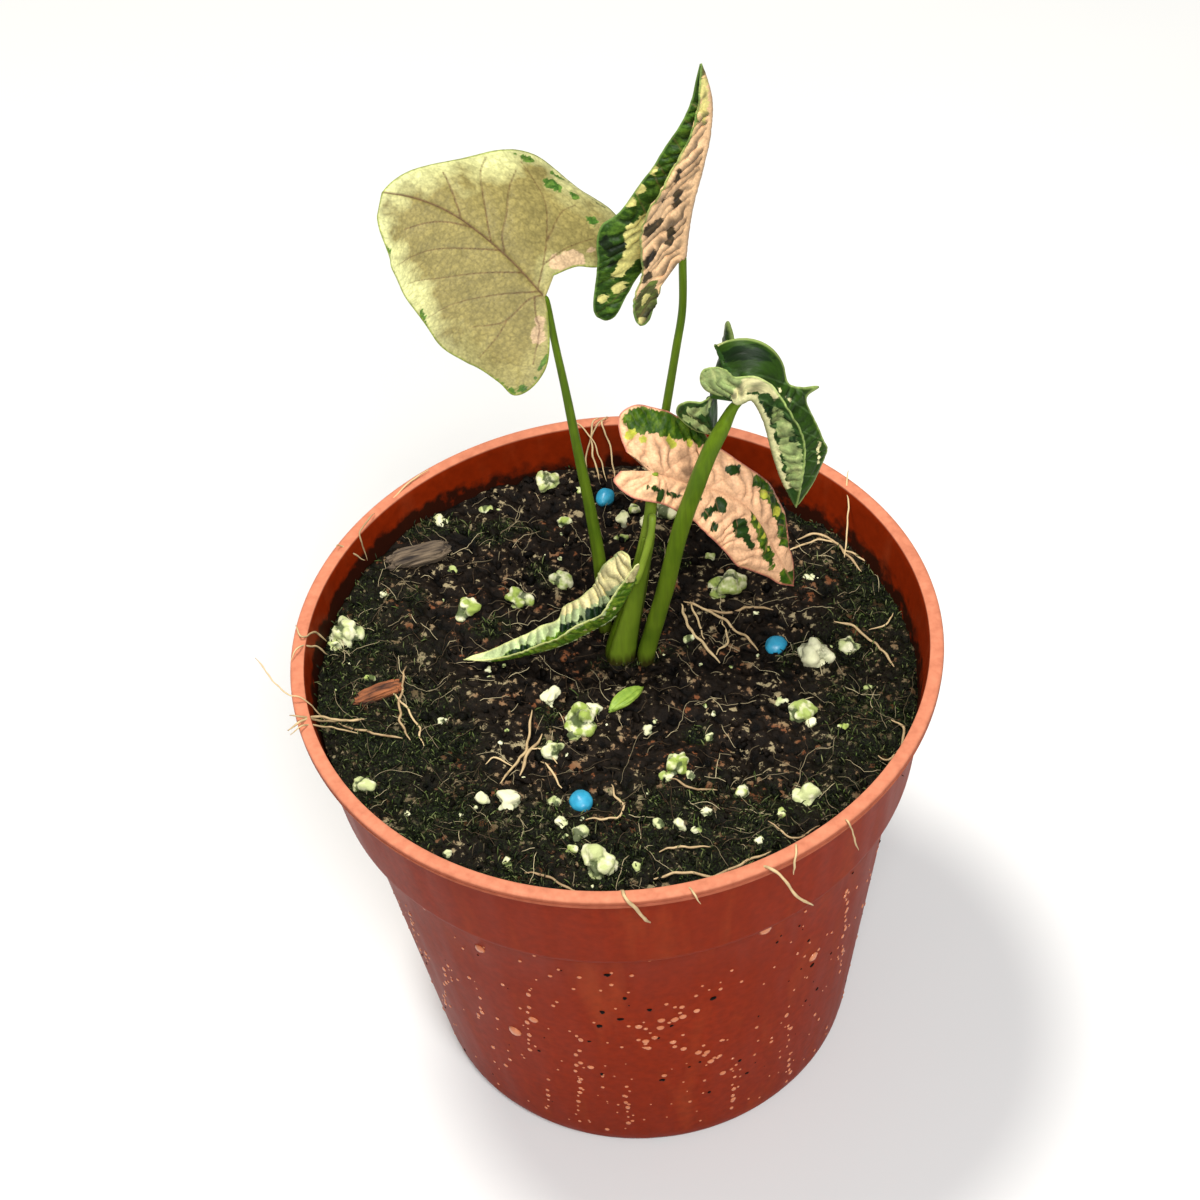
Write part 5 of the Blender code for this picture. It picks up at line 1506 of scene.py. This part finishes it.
def relief(name, hand, flat, gap, veins):
    """Height of the leaf's own relief above its smooth form, and how deep each point lies in it,
    for the painted shade in its creases.
    """
    work = WORKING[name]
    length = rib_length(LEAVES[name])
    width, stretch, swell = work["net"]
    right, left, wave_length, slant = work["crinkle"]
    a, b = flat.T
    inside = np.clip(gap / 1.5, 0, 1) * (1 - 0.7 * step_up(a, length * 0.85, length))
    near, after, _ = grains(np.column_stack([a + slant * b, b * stretch]), width, 4.0 + hand)
    pillow = np.clip((after - near) * 2.4, 0, 1) ** 0.7
    groove = np.exp(-((veins / 0.3) ** 2))
    height = swell * pillow * inside - work["groove"] * groove * inside
    height += work["pillow"] * (1 - np.exp(-((veins / 1.3) ** 2))) * inside
    height -= 0.22 * np.exp(-((b / 0.45) ** 2)) * (a > 0)
    height += UNDULATION[1] * rough(flat, UNDULATION[0], 71.0 + hand) * step_up(b, 0.5, 5) * inside
    # How deep each point lies, which the leaf's material paints as shade in its creases
    depth = 0.6 * (1 - pillow) - 0.05
    crinkle = right if hand > 0 else left
    if crinkle:
        phase = a + slant * b + 2.6 * rough(flat, 4.5, 75.0 + hand) + 0.7 * rough(flat, 1.7, 77.0)
        phase = phase / wave_length
        wave = 1 - 2 * np.abs(np.sin(math.pi * phase)) ** 1.4
        zone = step_up(b, 0.3, 1.6) * np.clip(0.75 + 0.9 * rough(flat, 5.5, 81.0), 0.15, 1.3)
        zone = zone * np.clip(gap / 0.8, 0.35, 1) * (1 - 0.6 * step_up(a, length * 0.8, length))
        height -= crinkle * wave * zone
        depth = 0.25 * (1 - pillow) + np.clip(wave, -0.4, 1) * zone * min(1, crinkle / 0.35)
    height += 0.05 * rough(flat, 0.8, 51.0)
    return height, np.clip(depth, -0.5, 1)


def blade_mesh(name, leaf):
    """Middle points, faces and the numbers at each point of a leaf's blade."""
    spacing = WORKING[name]["spacing"]
    points, flats, hands, faces = [], [], [], []
    layers = {key: [] for key in ("green", "cream", "dark", "rim", "vein", "depth", "tip")}
    total = 0
    for hand in (1, -1):
        outline, midrib_count = half_outline(leaf, hand, spacing)
        flat = np.vstack([outline, inside_points(outline, spacing)])
        edges = [(i, (i + 1) % len(outline)) for i in range(len(outline))]
        made = geometry.delaunay_2d_cdt([Vector(p) for p in flat], edges, [], 1, 1e-6)
        if len(made[0]) != len(flat):
            raise RuntimeError(f"The outline of the {name} leaf crosses itself")
        a, b = flat.T
        place = blade_surface(leaf, hand, a, b)
        step = SLOPE_STEP
        forward = blade_surface(leaf, hand, a + step, b) - blade_surface(leaf, hand, a - step, b)
        outward = blade_surface(leaf, hand, a, b + step) - blade_surface(leaf, hand, a, b - step)
        normal = unit(np.cross(outward, forward) * hand)
        gap, share = margin_share(leaf, hand, flat)
        vein = vein_distance(vein_lines(name, hand), flat)
        vein = np.minimum(vein + 0.006 * b, np.where(a > 0, b * 0.7, 9))
        height, depth = relief(name, hand, flat, gap, vein)
        height += ruffle_height(leaf, hand, flat, gap, share)
        place = place + normal * height[:, None]
        keep = slice(0 if hand > 0 else midrib_count, None)
        start = 0 if hand > 0 else total - midrib_count
        for face in made[2]:
            corners = [i if i < midrib_count else i + start for i in face]
            faces.append(corners[::-1] if hand > 0 else corners)
        points.append(place[keep])
        flats.append(flat[keep])
        hands.append(np.full(len(flat), float(hand))[keep])
        found = {"rim": gap, "vein": vein, "depth": depth, "tip": step_up(a, -4, 20)}
        found.update({key: field(name, key, hand, flat) for key in ("green", "cream", "dark")})
        for key, row in found.items():
            layers[key].append(row[keep])
        total += len(points[-1])
    values = {key: np.concatenate(rows) for key, rows in layers.items()}
    flat = np.vstack(flats)
    values["leaf_place"] = np.column_stack([flat, 20 * np.concatenate(hands)])
    return np.vstack(points), np.array(faces), values


def point_normals(points, faces):
    corners = points[faces]
    cross = np.cross(corners[:, 1] - corners[:, 0], corners[:, 2] - corners[:, 0])
    normals = np.zeros_like(points)
    for k in range(3):
        np.add.at(normals, faces[:, k], cross)
    return unit(normals)


def thick_blade(name, leaf):
    """Gives the blade its two faces, thicker at the midrib and thin at a rounded margin."""
    points, faces, values = blade_mesh(name, leaf)
    normals = point_normals(points, faces)
    flat = values["leaf_place"]
    along_rib = np.clip(1 - flat[:, 0] / rib_length(leaf), 0, 1) * (flat[:, 0] > -0.5)
    keel = (MIDRIB_THICKNESS - BLADE_THICKNESS) * np.exp(-((flat[:, 1] / 0.55) ** 2)) * along_rib
    edge = 0.45 + 0.55 * np.clip(values["rim"] / 0.8, 0, 1)
    top = points + normals * (BLADE_THICKNESS / 2 * edge)[:, None]
    bottom = points - normals * (BLADE_THICKNESS / 2 * edge + keel)[:, None]
    count = len(points)
    pairs = np.vstack([faces[:, [0, 1]], faces[:, [1, 2]], faces[:, [2, 0]]])
    ordered = np.sort(pairs, axis=1)
    _, index, uses = np.unique(ordered, axis=0, return_index=True, return_counts=True)
    border = pairs[index[uses == 1]]
    skirt = [[b, a, a + count, b + count] for a, b in border.tolist()]
    all_faces = faces.tolist() + (faces[:, ::-1] + count).tolist() + skirt
    doubled = {key: np.concatenate([row, row]) for key, row in values.items()}
    doubled["under"] = np.repeat([1.0, 0.0] if name in SEEN_FROM_UNDER else [0.0, 1.0], count)
    return np.vstack([top, bottom]), all_faces, doubled


# Colours of each leaf: middle, towards the margin, green, a lighter green in it, cream, dark, vein,
# line at the margin and underside, and numbers: width of the margin's colour, how strongly veins
# show, how strongly the underside's colour does and how much darker the painted shade in the
# creases is
LOOKS = {
    # Pale leaf: its wide yellow-green towards the margin is painted light shining through the edge
    "pale": (("#8C804A", "#D6D796", "#3A5F1F", "#6F8F3A", "#BFA37E", "#27401A", "#5A3B24", "#8A9A3C",
        "#B3B084"), (7.5, 0.85, 0.6, 0.7)),
    "upright": (("#F4CA98", "#DDC978", "#26420E", "#5C8026", "#DCD480", "#142409", "#8E6648", "#6F8F45",
        "#DDAC8C"), (1.4, 0.3, 0.1, 0.8)),
    "nodding": (("#26400C", "#3A5510", "#ABBC76", "#D0D68C", "#F6EBAE", "#12260A", "#6F8F55", "#9DB163",
        "#3A5F3A"), (1.6, 0.35, 0.2, 0.7)),
    "pink": (("#DFAE84", "#D4A071", "#2A4806", "#5F7816", "#B4B43C", "#1C340A", "#B07A5A", "#B9645A",
        "#D3B196"), (1.8, 0.35, 0.2, 0.6)),
    "young": (("#B9C890", "#DDE0A0", "#4A7408", "#9CB230", "#F1E3A4", "#142C10", "#A9B87E", "#D6DA8C",
        "#7F9460"), (1.2, 0.25, 0.1, 0.6)),
}
LOOK_KEYS = ("middle", "margin", "green", "light", "cream", "dark", "vein", "line", "under")


def leaf_material(name, tint):
    """Living leaf with a waxy skin: satin gloss over soft colour, patches with ragged edges drawn
    out along the veins, painted shade in the creases, and a net of small veins."""
    colours, (reach, vein_strength, under_strength, crease_shade_strength) = LOOKS[name]
    look = {key: linear(code) for key, code in zip(LOOK_KEYS, colours)}
    look["middle"] = [a * t for a, t in zip(look["middle"], (*tint, 1))]
    made, node, shader = new_material(
        f"leaf_{name}_waxy", IOR=1.45, Roughness=0.45, Specular_IOR_Level=0.16,
    )
    place = node("Attribute", out=1, attribute_name="leaf_place")
    held = {}
    for key in ("green", "cream", "dark", "rim", "vein", "under", "depth", "tip"):
        held[key] = node("Attribute", out=2, attribute_name=key)
    # Clouds about 6 mm wide, ragged streaks about 1 mm wide and 3 mm long out from the midrib,
    # and speckle about 0.4 mm wide
    drawn = node("Mapping", {"Vector": place, "Scale": (1.0, 0.4, 1.0)})
    cloud = node("TexNoise", {"Vector": place, "Scale": 0.17, "Detail": 3.0})
    ragged = node("TexNoise", {"Vector": drawn, "Scale": 0.95, "Detail": 4.0, "Roughness": 0.62})
    fine = node("TexNoise", {"Vector": place, "Scale": 2.6, "Detail": 3.0})
    spread = node("Math", [cloud, 2.2 * reach, -0.5 * reach], operation="MULTIPLY_ADD")
    outer = node("MapRange", [held["rim"], spread, 0.0])
    # The margin's colour is stronger towards the tip
    near_tip = node("MapRange", [held["tip"], 0.0, 1.0, 0.18, 1.0])
    outer = node("Math", [outer, near_tip], operation="MULTIPLY")
    base = node("Mix", {0: outer, 6: look["middle"], 7: look["margin"]}, **MIX)
    # Patches of colour over the middle, each a little ragged at its edge
    for key, jag in (("green", 3.2), ("cream", 2.8), ("dark", 2.5)):
        wobble = node("Math", [ragged, jag, -0.5 * jag - 1], operation="MULTIPLY_ADD")
        wobble = node("Math", [cloud, 2.0, wobble], operation="MULTIPLY_ADD")
        edge = node("Math", [held[key], wobble], operation="ADD")
        mask = node("MapRange", [edge, -0.1, 0.15])
        colour = look[key]
        if key == "green":
            streak = node("MapRange", [ragged, 0.46, 0.66, 0.0, 0.8])
            colour = node("Mix", {0: streak, 6: look["green"], 7: look["light"]}, **MIX)
        base = node("Mix", {0: mask, 6: base, 7: colour}, **MIX)
    beneath = node("Math", [held["under"], under_strength], operation="MULTIPLY")
    base = node("Mix", {0: beneath, 6: base, 7: look["under"]}, **MIX)
    line = node("MapRange", [held["vein"], 0.04, 0.3, vein_strength, 0.0])
    base = node("Mix", {0: line, 6: base, 7: look["vein"]}, **MIX)
    border = node("MapRange", [held["rim"], 0.12, 0.4, 0.75, 0.0])
    base = node("Mix", {0: border, 6: base, 7: look["line"]}, **MIX)
    # Painted shade: creases are painted darker than the ridges. The skin is faintly speckled
    shade = node("MapRange", [held["depth"], -0.4, 1.0, 1.12, 1.0 - crease_shade_strength])
    mottle = node("MapRange", [fine, 0.3, 0.7, 0.82, 1.16])
    shade = node("Math", [shade, mottle], operation="MULTIPLY")
    tone = node("MapRange", [cloud, 0.35, 0.65, 0.86, 1.14])
    shade = node("Math", [shade, tone], operation="MULTIPLY")
    base = node("Mix", {0: 1.0, 6: base, 7: shade}, **MIX, blend_type="MULTIPLY")
    bump = node("Bump", {"Height": fine, "Distance": 0.00012, "Strength": 0.6})
    fill(shader, {"Base Color": base, "Normal": bump})
    return made


def make_leaf(name, tint):
    points, faces, values = thick_blade(name, LEAVES[name])
    blade = add_piece(f"leaf_{name}", points, faces, leaf_material(name, tint))
    for key, row in values.items():
        add_values(blade, key, row)
    settle(blade, BLADE_SLOTS[name], f"blade_{name}")


BLADE_SLOTS = {
    "pale": "pale_blade", "upright": "pink_blade", "nodding": "green_blade", "pink": "pink_blade",
    "young": "young_blade",
}


# Stalks


def green_stalk(colour):
    """Petiole, living and smooth: satin green, lighter where it is young, with fine lengthwise
    streaks of darker green and cream."""
    made, node, shader = new_material(
        "petiole_green_living", IOR=1.42, Roughness=0.42, Specular_IOR_Level=0.16,
    )
    place = node("TexCoord", out=3)
    shade = node("Attribute", out=2, attribute_name="shade")
    # Streaks about 0.8 mm wide and 11 mm long
    stretch = node("Mapping", {"Vector": place, "Scale": (1.0, 1.0, 0.07)})
    streak = node("TexNoise", {"Vector": stretch, "Scale": 1300.0, "Detail": 3.0})
    cloud = node("TexNoise", {"Vector": place, "Scale": 150.0, "Detail": 2.0})
    tone = node("MapRange", [streak, 0.3, 0.7])
    base = node("Mix", {0: tone, 6: shaded(colour, 0.72), 7: shaded(colour, 1.2)}, **MIX)
    base = node("Mix", {0: shade, 6: base, 7: "#93A83C"}, **MIX)
    dull = node("MapRange", [cloud, 0.4, 0.7, 0.0, 0.45])
    base = node("Mix", {0: dull, 6: base, 7: "#2F4E0A"}, **MIX)
    # Peat sticks to the foot of each stalk
    soiled = node("Attribute", out=2, attribute_name="soiled")
    soiled = node("Math", [soiled, streak], operation="MULTIPLY")
    soiled = node("MapRange", [soiled, 0.14, 0.4, 0.0, 0.9])
    base = node("Mix", {0: soiled, 6: base, 7: "#2A1D0E"}, **MIX)
    bump = node("Bump", {"Height": streak, "Distance": 0.00012, "Strength": 0.5})
    fill(shader, {"Base Color": base, "Normal": bump})
    return made


def stalk_tube(name, furrow, sides=28):
    """A stalk that is slightly uneven and has a shallow furrow along one side."""
    line = smooth_line(PETIOLES[name], 12)
    path, radii = line[:, :3], line[:, 3] * SLIMNESS[name]
    radii = radii * (1 + 0.03 * rough_row(len(path), 0, 6.0, furrow))

    def shape(angles):
        away = np.angle(np.exp(1j * (angles - furrow)))
        groove = FURROW_DEPTH * np.exp(-((away / FURROW_WIDTH) ** 2))
        return 1 - groove + RIB_HEIGHT * np.cos(3 * angles + furrow)

    return tube(path, radii, sides, shape)


def foot_soil(points):
    """1 where a stalk leaves the soil, down to 0 a few millimetres higher."""
    return np.clip((FOOT_SOIL_TOP - points[:, 2]) / FOOT_SOIL_DEPTH, 0, 1)


def make_stalks(sizes):
    skin = green_stalk(sizes.stalk_colour)
    for i, name in enumerate(("pale", "upright", "nodding")):
        heap = Heap("shade", "soiled")
        points, faces = stalk_tube(name, 1.0 + i)
        share = np.clip((points[:, 2] - 90) / 80, 0, 1)
        heap.add(points, faces, shade=0.22 * (1 - share) + 0.05, soiled=foot_soil(points))
        settle(heap.make(f"stalk_{name}", skin), "stalk", f"petiole_{name}")
    heap = Heap("shade", "soiled")
    points, faces = stalk_tube("pink", 4.2)
    shade = np.clip((points[:, 2] - 100) / 50, 0.1, 0.5)
    heap.add(points, faces, shade=shade, soiled=foot_soil(points))
    points, faces = stalk_tube("young", 2.0, 20)
    heap.add(points, faces, shade=0.65)
    points, faces = sheath()
    heap.add(points, faces, shade=0.3, soiled=foot_soil(points))
    settle(heap.make("stalk_pink_and_young", skin), "stalk", "petiole_pink_and_young")
    skin_of_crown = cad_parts["crown"]
    for slot in skin_of_crown.material_slots:
        slot.material = skin


def sheath():
    """The thin wing of the pink leaf's stalk that wraps the young leaf's stalk at its base."""
    line = smooth_line(PETIOLES["pink"], 12)
    line = line[line[:, 2] < SHEATH_TOP]
    count, sides = len(line), 2 * SHEATH_STEPS
    rows = []
    for i, (x, y, z, radius) in enumerate(line):
        wide = (1 - i / (count - 1)) * 1.5 + 0.15
        for angle in np.linspace(-0.5, 0.9, SHEATH_STEPS):
            turn = -math.pi / 2 + angle * 1.5
            reach = radius + 0.12 + wide * abs(angle) ** 2 * 0.7
            rows.append((x + reach * math.cos(turn), y + reach * math.sin(turn), z))
    outer = np.array(rows).reshape(count, SHEATH_STEPS, 3)
    inner = outer - unit(outer - line[:, None, :3]) * SHEATH_THICKNESS
    points = np.hstack([outer, inner[:, ::-1]]).reshape(-1, 3)
    faces = stack_faces(count, sides)
    top = (count - 1) * sides
    for j in range(SHEATH_STEPS - 1):
        end = (j + 1, j, sides - 1 - j, sides - 2 - j)
        faces += [end, [top + corner for corner in reversed(end)]]
    return points, faces


# Stage


def photo_camera():
    """The camera at the photograph's angle and distance."""
    elevation = math.radians(CAMERA_ELEVATION)
    roll = math.radians(CAMERA_ROLL)
    forward = np.array((0, math.cos(elevation), -math.sin(elevation)))
    right = np.array((1.0, 0, 0))
    up = np.cross(right, forward)
    across = math.cos(roll) * right - math.sin(roll) * up
    above = math.sin(roll) * right + math.cos(roll) * up
    place = (np.array(CAMERA_TARGET) - forward * CAMERA_DISTANCE) * MM
    lens = bpy.data.cameras.new("camera")
    lens.sensor_width = SENSOR_WIDTH
    lens.lens = FOCAL_LENGTH
    lens.clip_start = 0.01
    camera = bpy.data.objects.new("camera", lens)
    axes = np.vstack([np.column_stack([across, above, -forward, place]), (0, 0, 0, 1)])
    camera.matrix_world = Matrix(axes.tolist())
    bpy.context.scene.collection.objects.link(camera)
    bpy.context.scene.camera = camera


def soft_light(name, power, place, size, colour):
    """A round lamp that faces the rim of the pot."""
    light = bpy.data.lights.new(name, "AREA")
    light.shape = "DISK"
    light.size = size
    light.energy = power
    light.color = colour
    obj = bpy.data.objects.new(name, light)
    obj.location = place
    obj.rotation_euler = (Vector(LAMP_TARGET) - Vector(place)).to_track_quat("-Z", "Y").to_euler()
    bpy.context.scene.collection.objects.link(obj)


def backdrop_paper(colour):
    """Seamless backdrop paper, matt: an even pale ground with hardly any gloss."""
    made, node, shader = new_material("backdrop_paper_matt", IOR=1.4, Roughness=0.9)
    place = node("TexCoord", out=3)
    tooth = node("TexNoise", {"Vector": place, "Scale": 25.0, "Detail": 2.0})
    base = node("Mix", {0: tooth, 6: shaded(colour, 0.985), 7: shaded(colour, 1)}, **MIX)
    fill(shader, {"Base Color": base})
    return made


def make_stage(sizes):
    corners = ((-1, -1), (1, -1), (1, 1), (-1, 1))
    points = [(x * FLOOR_REACH, y * FLOOR_REACH, -FLOOR_DROP) for x, y in corners]
    floor = add_piece("floor", points, [(0, 1, 2, 3)], backdrop_paper(sizes.floor_colour), smooth=False)
    world = bpy.data.worlds.new("studio")
    world.use_nodes = True
    air = world.node_tree.nodes["Background"]
    fill(air, {"Color": (1.0, 1.0, 1.0, 1.0), "Strength": sizes.room_light})
    bpy.context.scene.world = world
    soft_light("key", sizes.key_light, *KEY_LAMP)
    soft_light("fill", sizes.fill_light, *FILL_LAMP)
    photo_camera()
    bpy.context.scene.view_settings.view_transform = "Standard"


class PlantSizes(bpy.types.PropertyGroup):
    """Sizes and colours of the potted plant that a user may change."""

    seed: bpy.props.IntProperty(
        name="Seed", description="Start of the random draws for soil, fibres and water", default=11, min=0,
    )
    pot_colour: bpy.props.FloatVectorProperty(
        name="Pot colour", description="Colour of the moulded pot", subtype="COLOR", size=3,
        min=0.0, max=1.0, default=hex_colour("#832507"),
    )
    pot_segments: bpy.props.IntProperty(
        name="Pot segments", description="How many flat faces run round the pot", default=192, min=64,
    )
    drop_count: bpy.props.IntProperty(
        name="Water beads", description="Loose beads of water on the wall", default=560, min=0,
    )
    speck_count: bpy.props.IntProperty(
        name="Peat specks", description="Loose specks of peat on the wall", default=110, min=0,
    )
    soil_points: bpy.props.IntProperty(
        name="Soil points", description="Points on the soil's surface", default=80000, min=2000,
    )
    crumb_count: bpy.props.IntProperty(
        name="Peat crumbs", description="Crumbs of peat on the soil", default=1900, min=0,
    )
    fibre_count: bpy.props.IntProperty(
        name="Fibres", description="Dried fibres on the soil", default=700, min=0,
    )
    moss_count: bpy.props.IntProperty(
        name="Moss stems", description="Moss stems at the soil's edges", default=3900, min=0,
    )
    grit_count: bpy.props.IntProperty(
        name="Perlite grit", description="Smallest bits of perlite", default=70, min=0,
    )
    stalk_colour: bpy.props.FloatVectorProperty(
        name="Stalk colour", description="Colour of the petioles", subtype="COLOR", size=3,
        min=0.0, max=1.0, default=hex_colour("#4A6304"),
    )
    leaf_tint: bpy.props.FloatVectorProperty(
        name="Leaf tint", description="Tint laid over the leaves' own colour", subtype="COLOR", size=3,
        min=0.0, max=2.0, default=(1.0, 1.0, 1.0),
    )
    floor_colour: bpy.props.FloatVectorProperty(
        name="Floor colour", description="Colour of the ground", subtype="COLOR", size=3,
        min=0.0, max=1.0, default=hex_colour("#DDDDDB"),
    )
    key_light: bpy.props.FloatProperty(
        name="Key light", description="Power of the main lamp", unit="POWER", default=9.5, min=0.0,
    )
    fill_light: bpy.props.FloatProperty(
        name="Fill light", description="Power of the lamp in front", unit="POWER", default=13.0, min=0.0,
    )
    room_light: bpy.props.FloatProperty(
        name="Room light", description="Brightness of the room", default=0.3, min=0.0,
    )


class PLANT_OT_pot(bpy.types.Operator):
    """Makes the moulded pot and the water on its wall"""

    bl_idname = "plant.pot"
    bl_label = "Pot"

    def execute(self, context):
        sizes = context.scene.plant_sizes
        make_pot(sizes)
        make_water(sizes)
        return report(self, "Pot made")


class PLANT_OT_soil(bpy.types.Operator):
    """Makes the soil, its crumbs, fibres and moss"""

    bl_idname = "plant.soil"
    bl_label = "Soil"

    def execute(self, context):
        sizes = context.scene.plant_sizes
        make_soil(sizes)
        make_fibres(sizes)
        return report(self, "Soil made")


class PLANT_OT_litter(bpy.types.Operator):
    """Makes the perlite, prills, chips and roots that lie on the soil"""

    bl_idname = "plant.litter"
    bl_label = "Perlite, prills, chips and roots"

    def execute(self, context):
        sizes = context.scene.plant_sizes
        make_perlite(sizes)
        make_pellets()
        make_chips()
        make_roots(sizes)
        return report(self, "Litter made")


class PLANT_OT_stalks(bpy.types.Operator):
    """Makes the petioles"""

    bl_idname = "plant.stalks"
    bl_label = "Stalks"

    def execute(self, context):
        make_stalks(context.scene.plant_sizes)
        return report(self, "Stalks made")


class PLANT_OT_leaves(bpy.types.Operator):
    """Makes the five leaves"""

    bl_idname = "plant.leaves"
    bl_label = "Leaves"

    def execute(self, context):
        for name in LEAVES:
            make_leaf(name, context.scene.plant_sizes.leaf_tint)
        return report(self, "Leaves made")


class PLANT_OT_stage(bpy.types.Operator):
    """Makes the floor, the lights and the camera"""

    bl_idname = "plant.stage"
    bl_label = "Stage"

    def execute(self, context):
        make_stage(context.scene.plant_sizes)
        return report(self, "Stage made")


OPERATORS = (
    PLANT_OT_pot, PLANT_OT_soil, PLANT_OT_litter, PLANT_OT_stalks, PLANT_OT_leaves, PLANT_OT_stage,
)


class PLANT_PT_panel(bpy.types.Panel):
    """Lists the plant's sizes and the operators that make it"""

    bl_idname = "PLANT_PT_panel"
    bl_label = "Arrowhead plant"
    bl_space_type = "VIEW_3D"
    bl_region_type = "UI"
    bl_category = "Arrowhead plant"

    def draw(self, context):
        for name in PlantSizes.__annotations__:
            self.layout.prop(context.scene.plant_sizes, name)
        for operator in OPERATORS:
            self.layout.operator(operator.bl_idname)


CLASSES = (PlantSizes, *OPERATORS, PLANT_PT_panel)


def register():
    for item in CLASSES:
        bpy.utils.register_class(item)
    bpy.types.Scene.plant_sizes = bpy.props.PointerProperty(type=PlantSizes)


def unregister():
    del bpy.types.Scene.plant_sizes
    for item in reversed(CLASSES):
        bpy.utils.unregister_class(item)


def main():
    register()
    for name in ("pot", "soil", "litter", "stalks", "leaves", "stage"):
        getattr(bpy.ops.plant, name)()


if __name__ == "__main__":
    main()
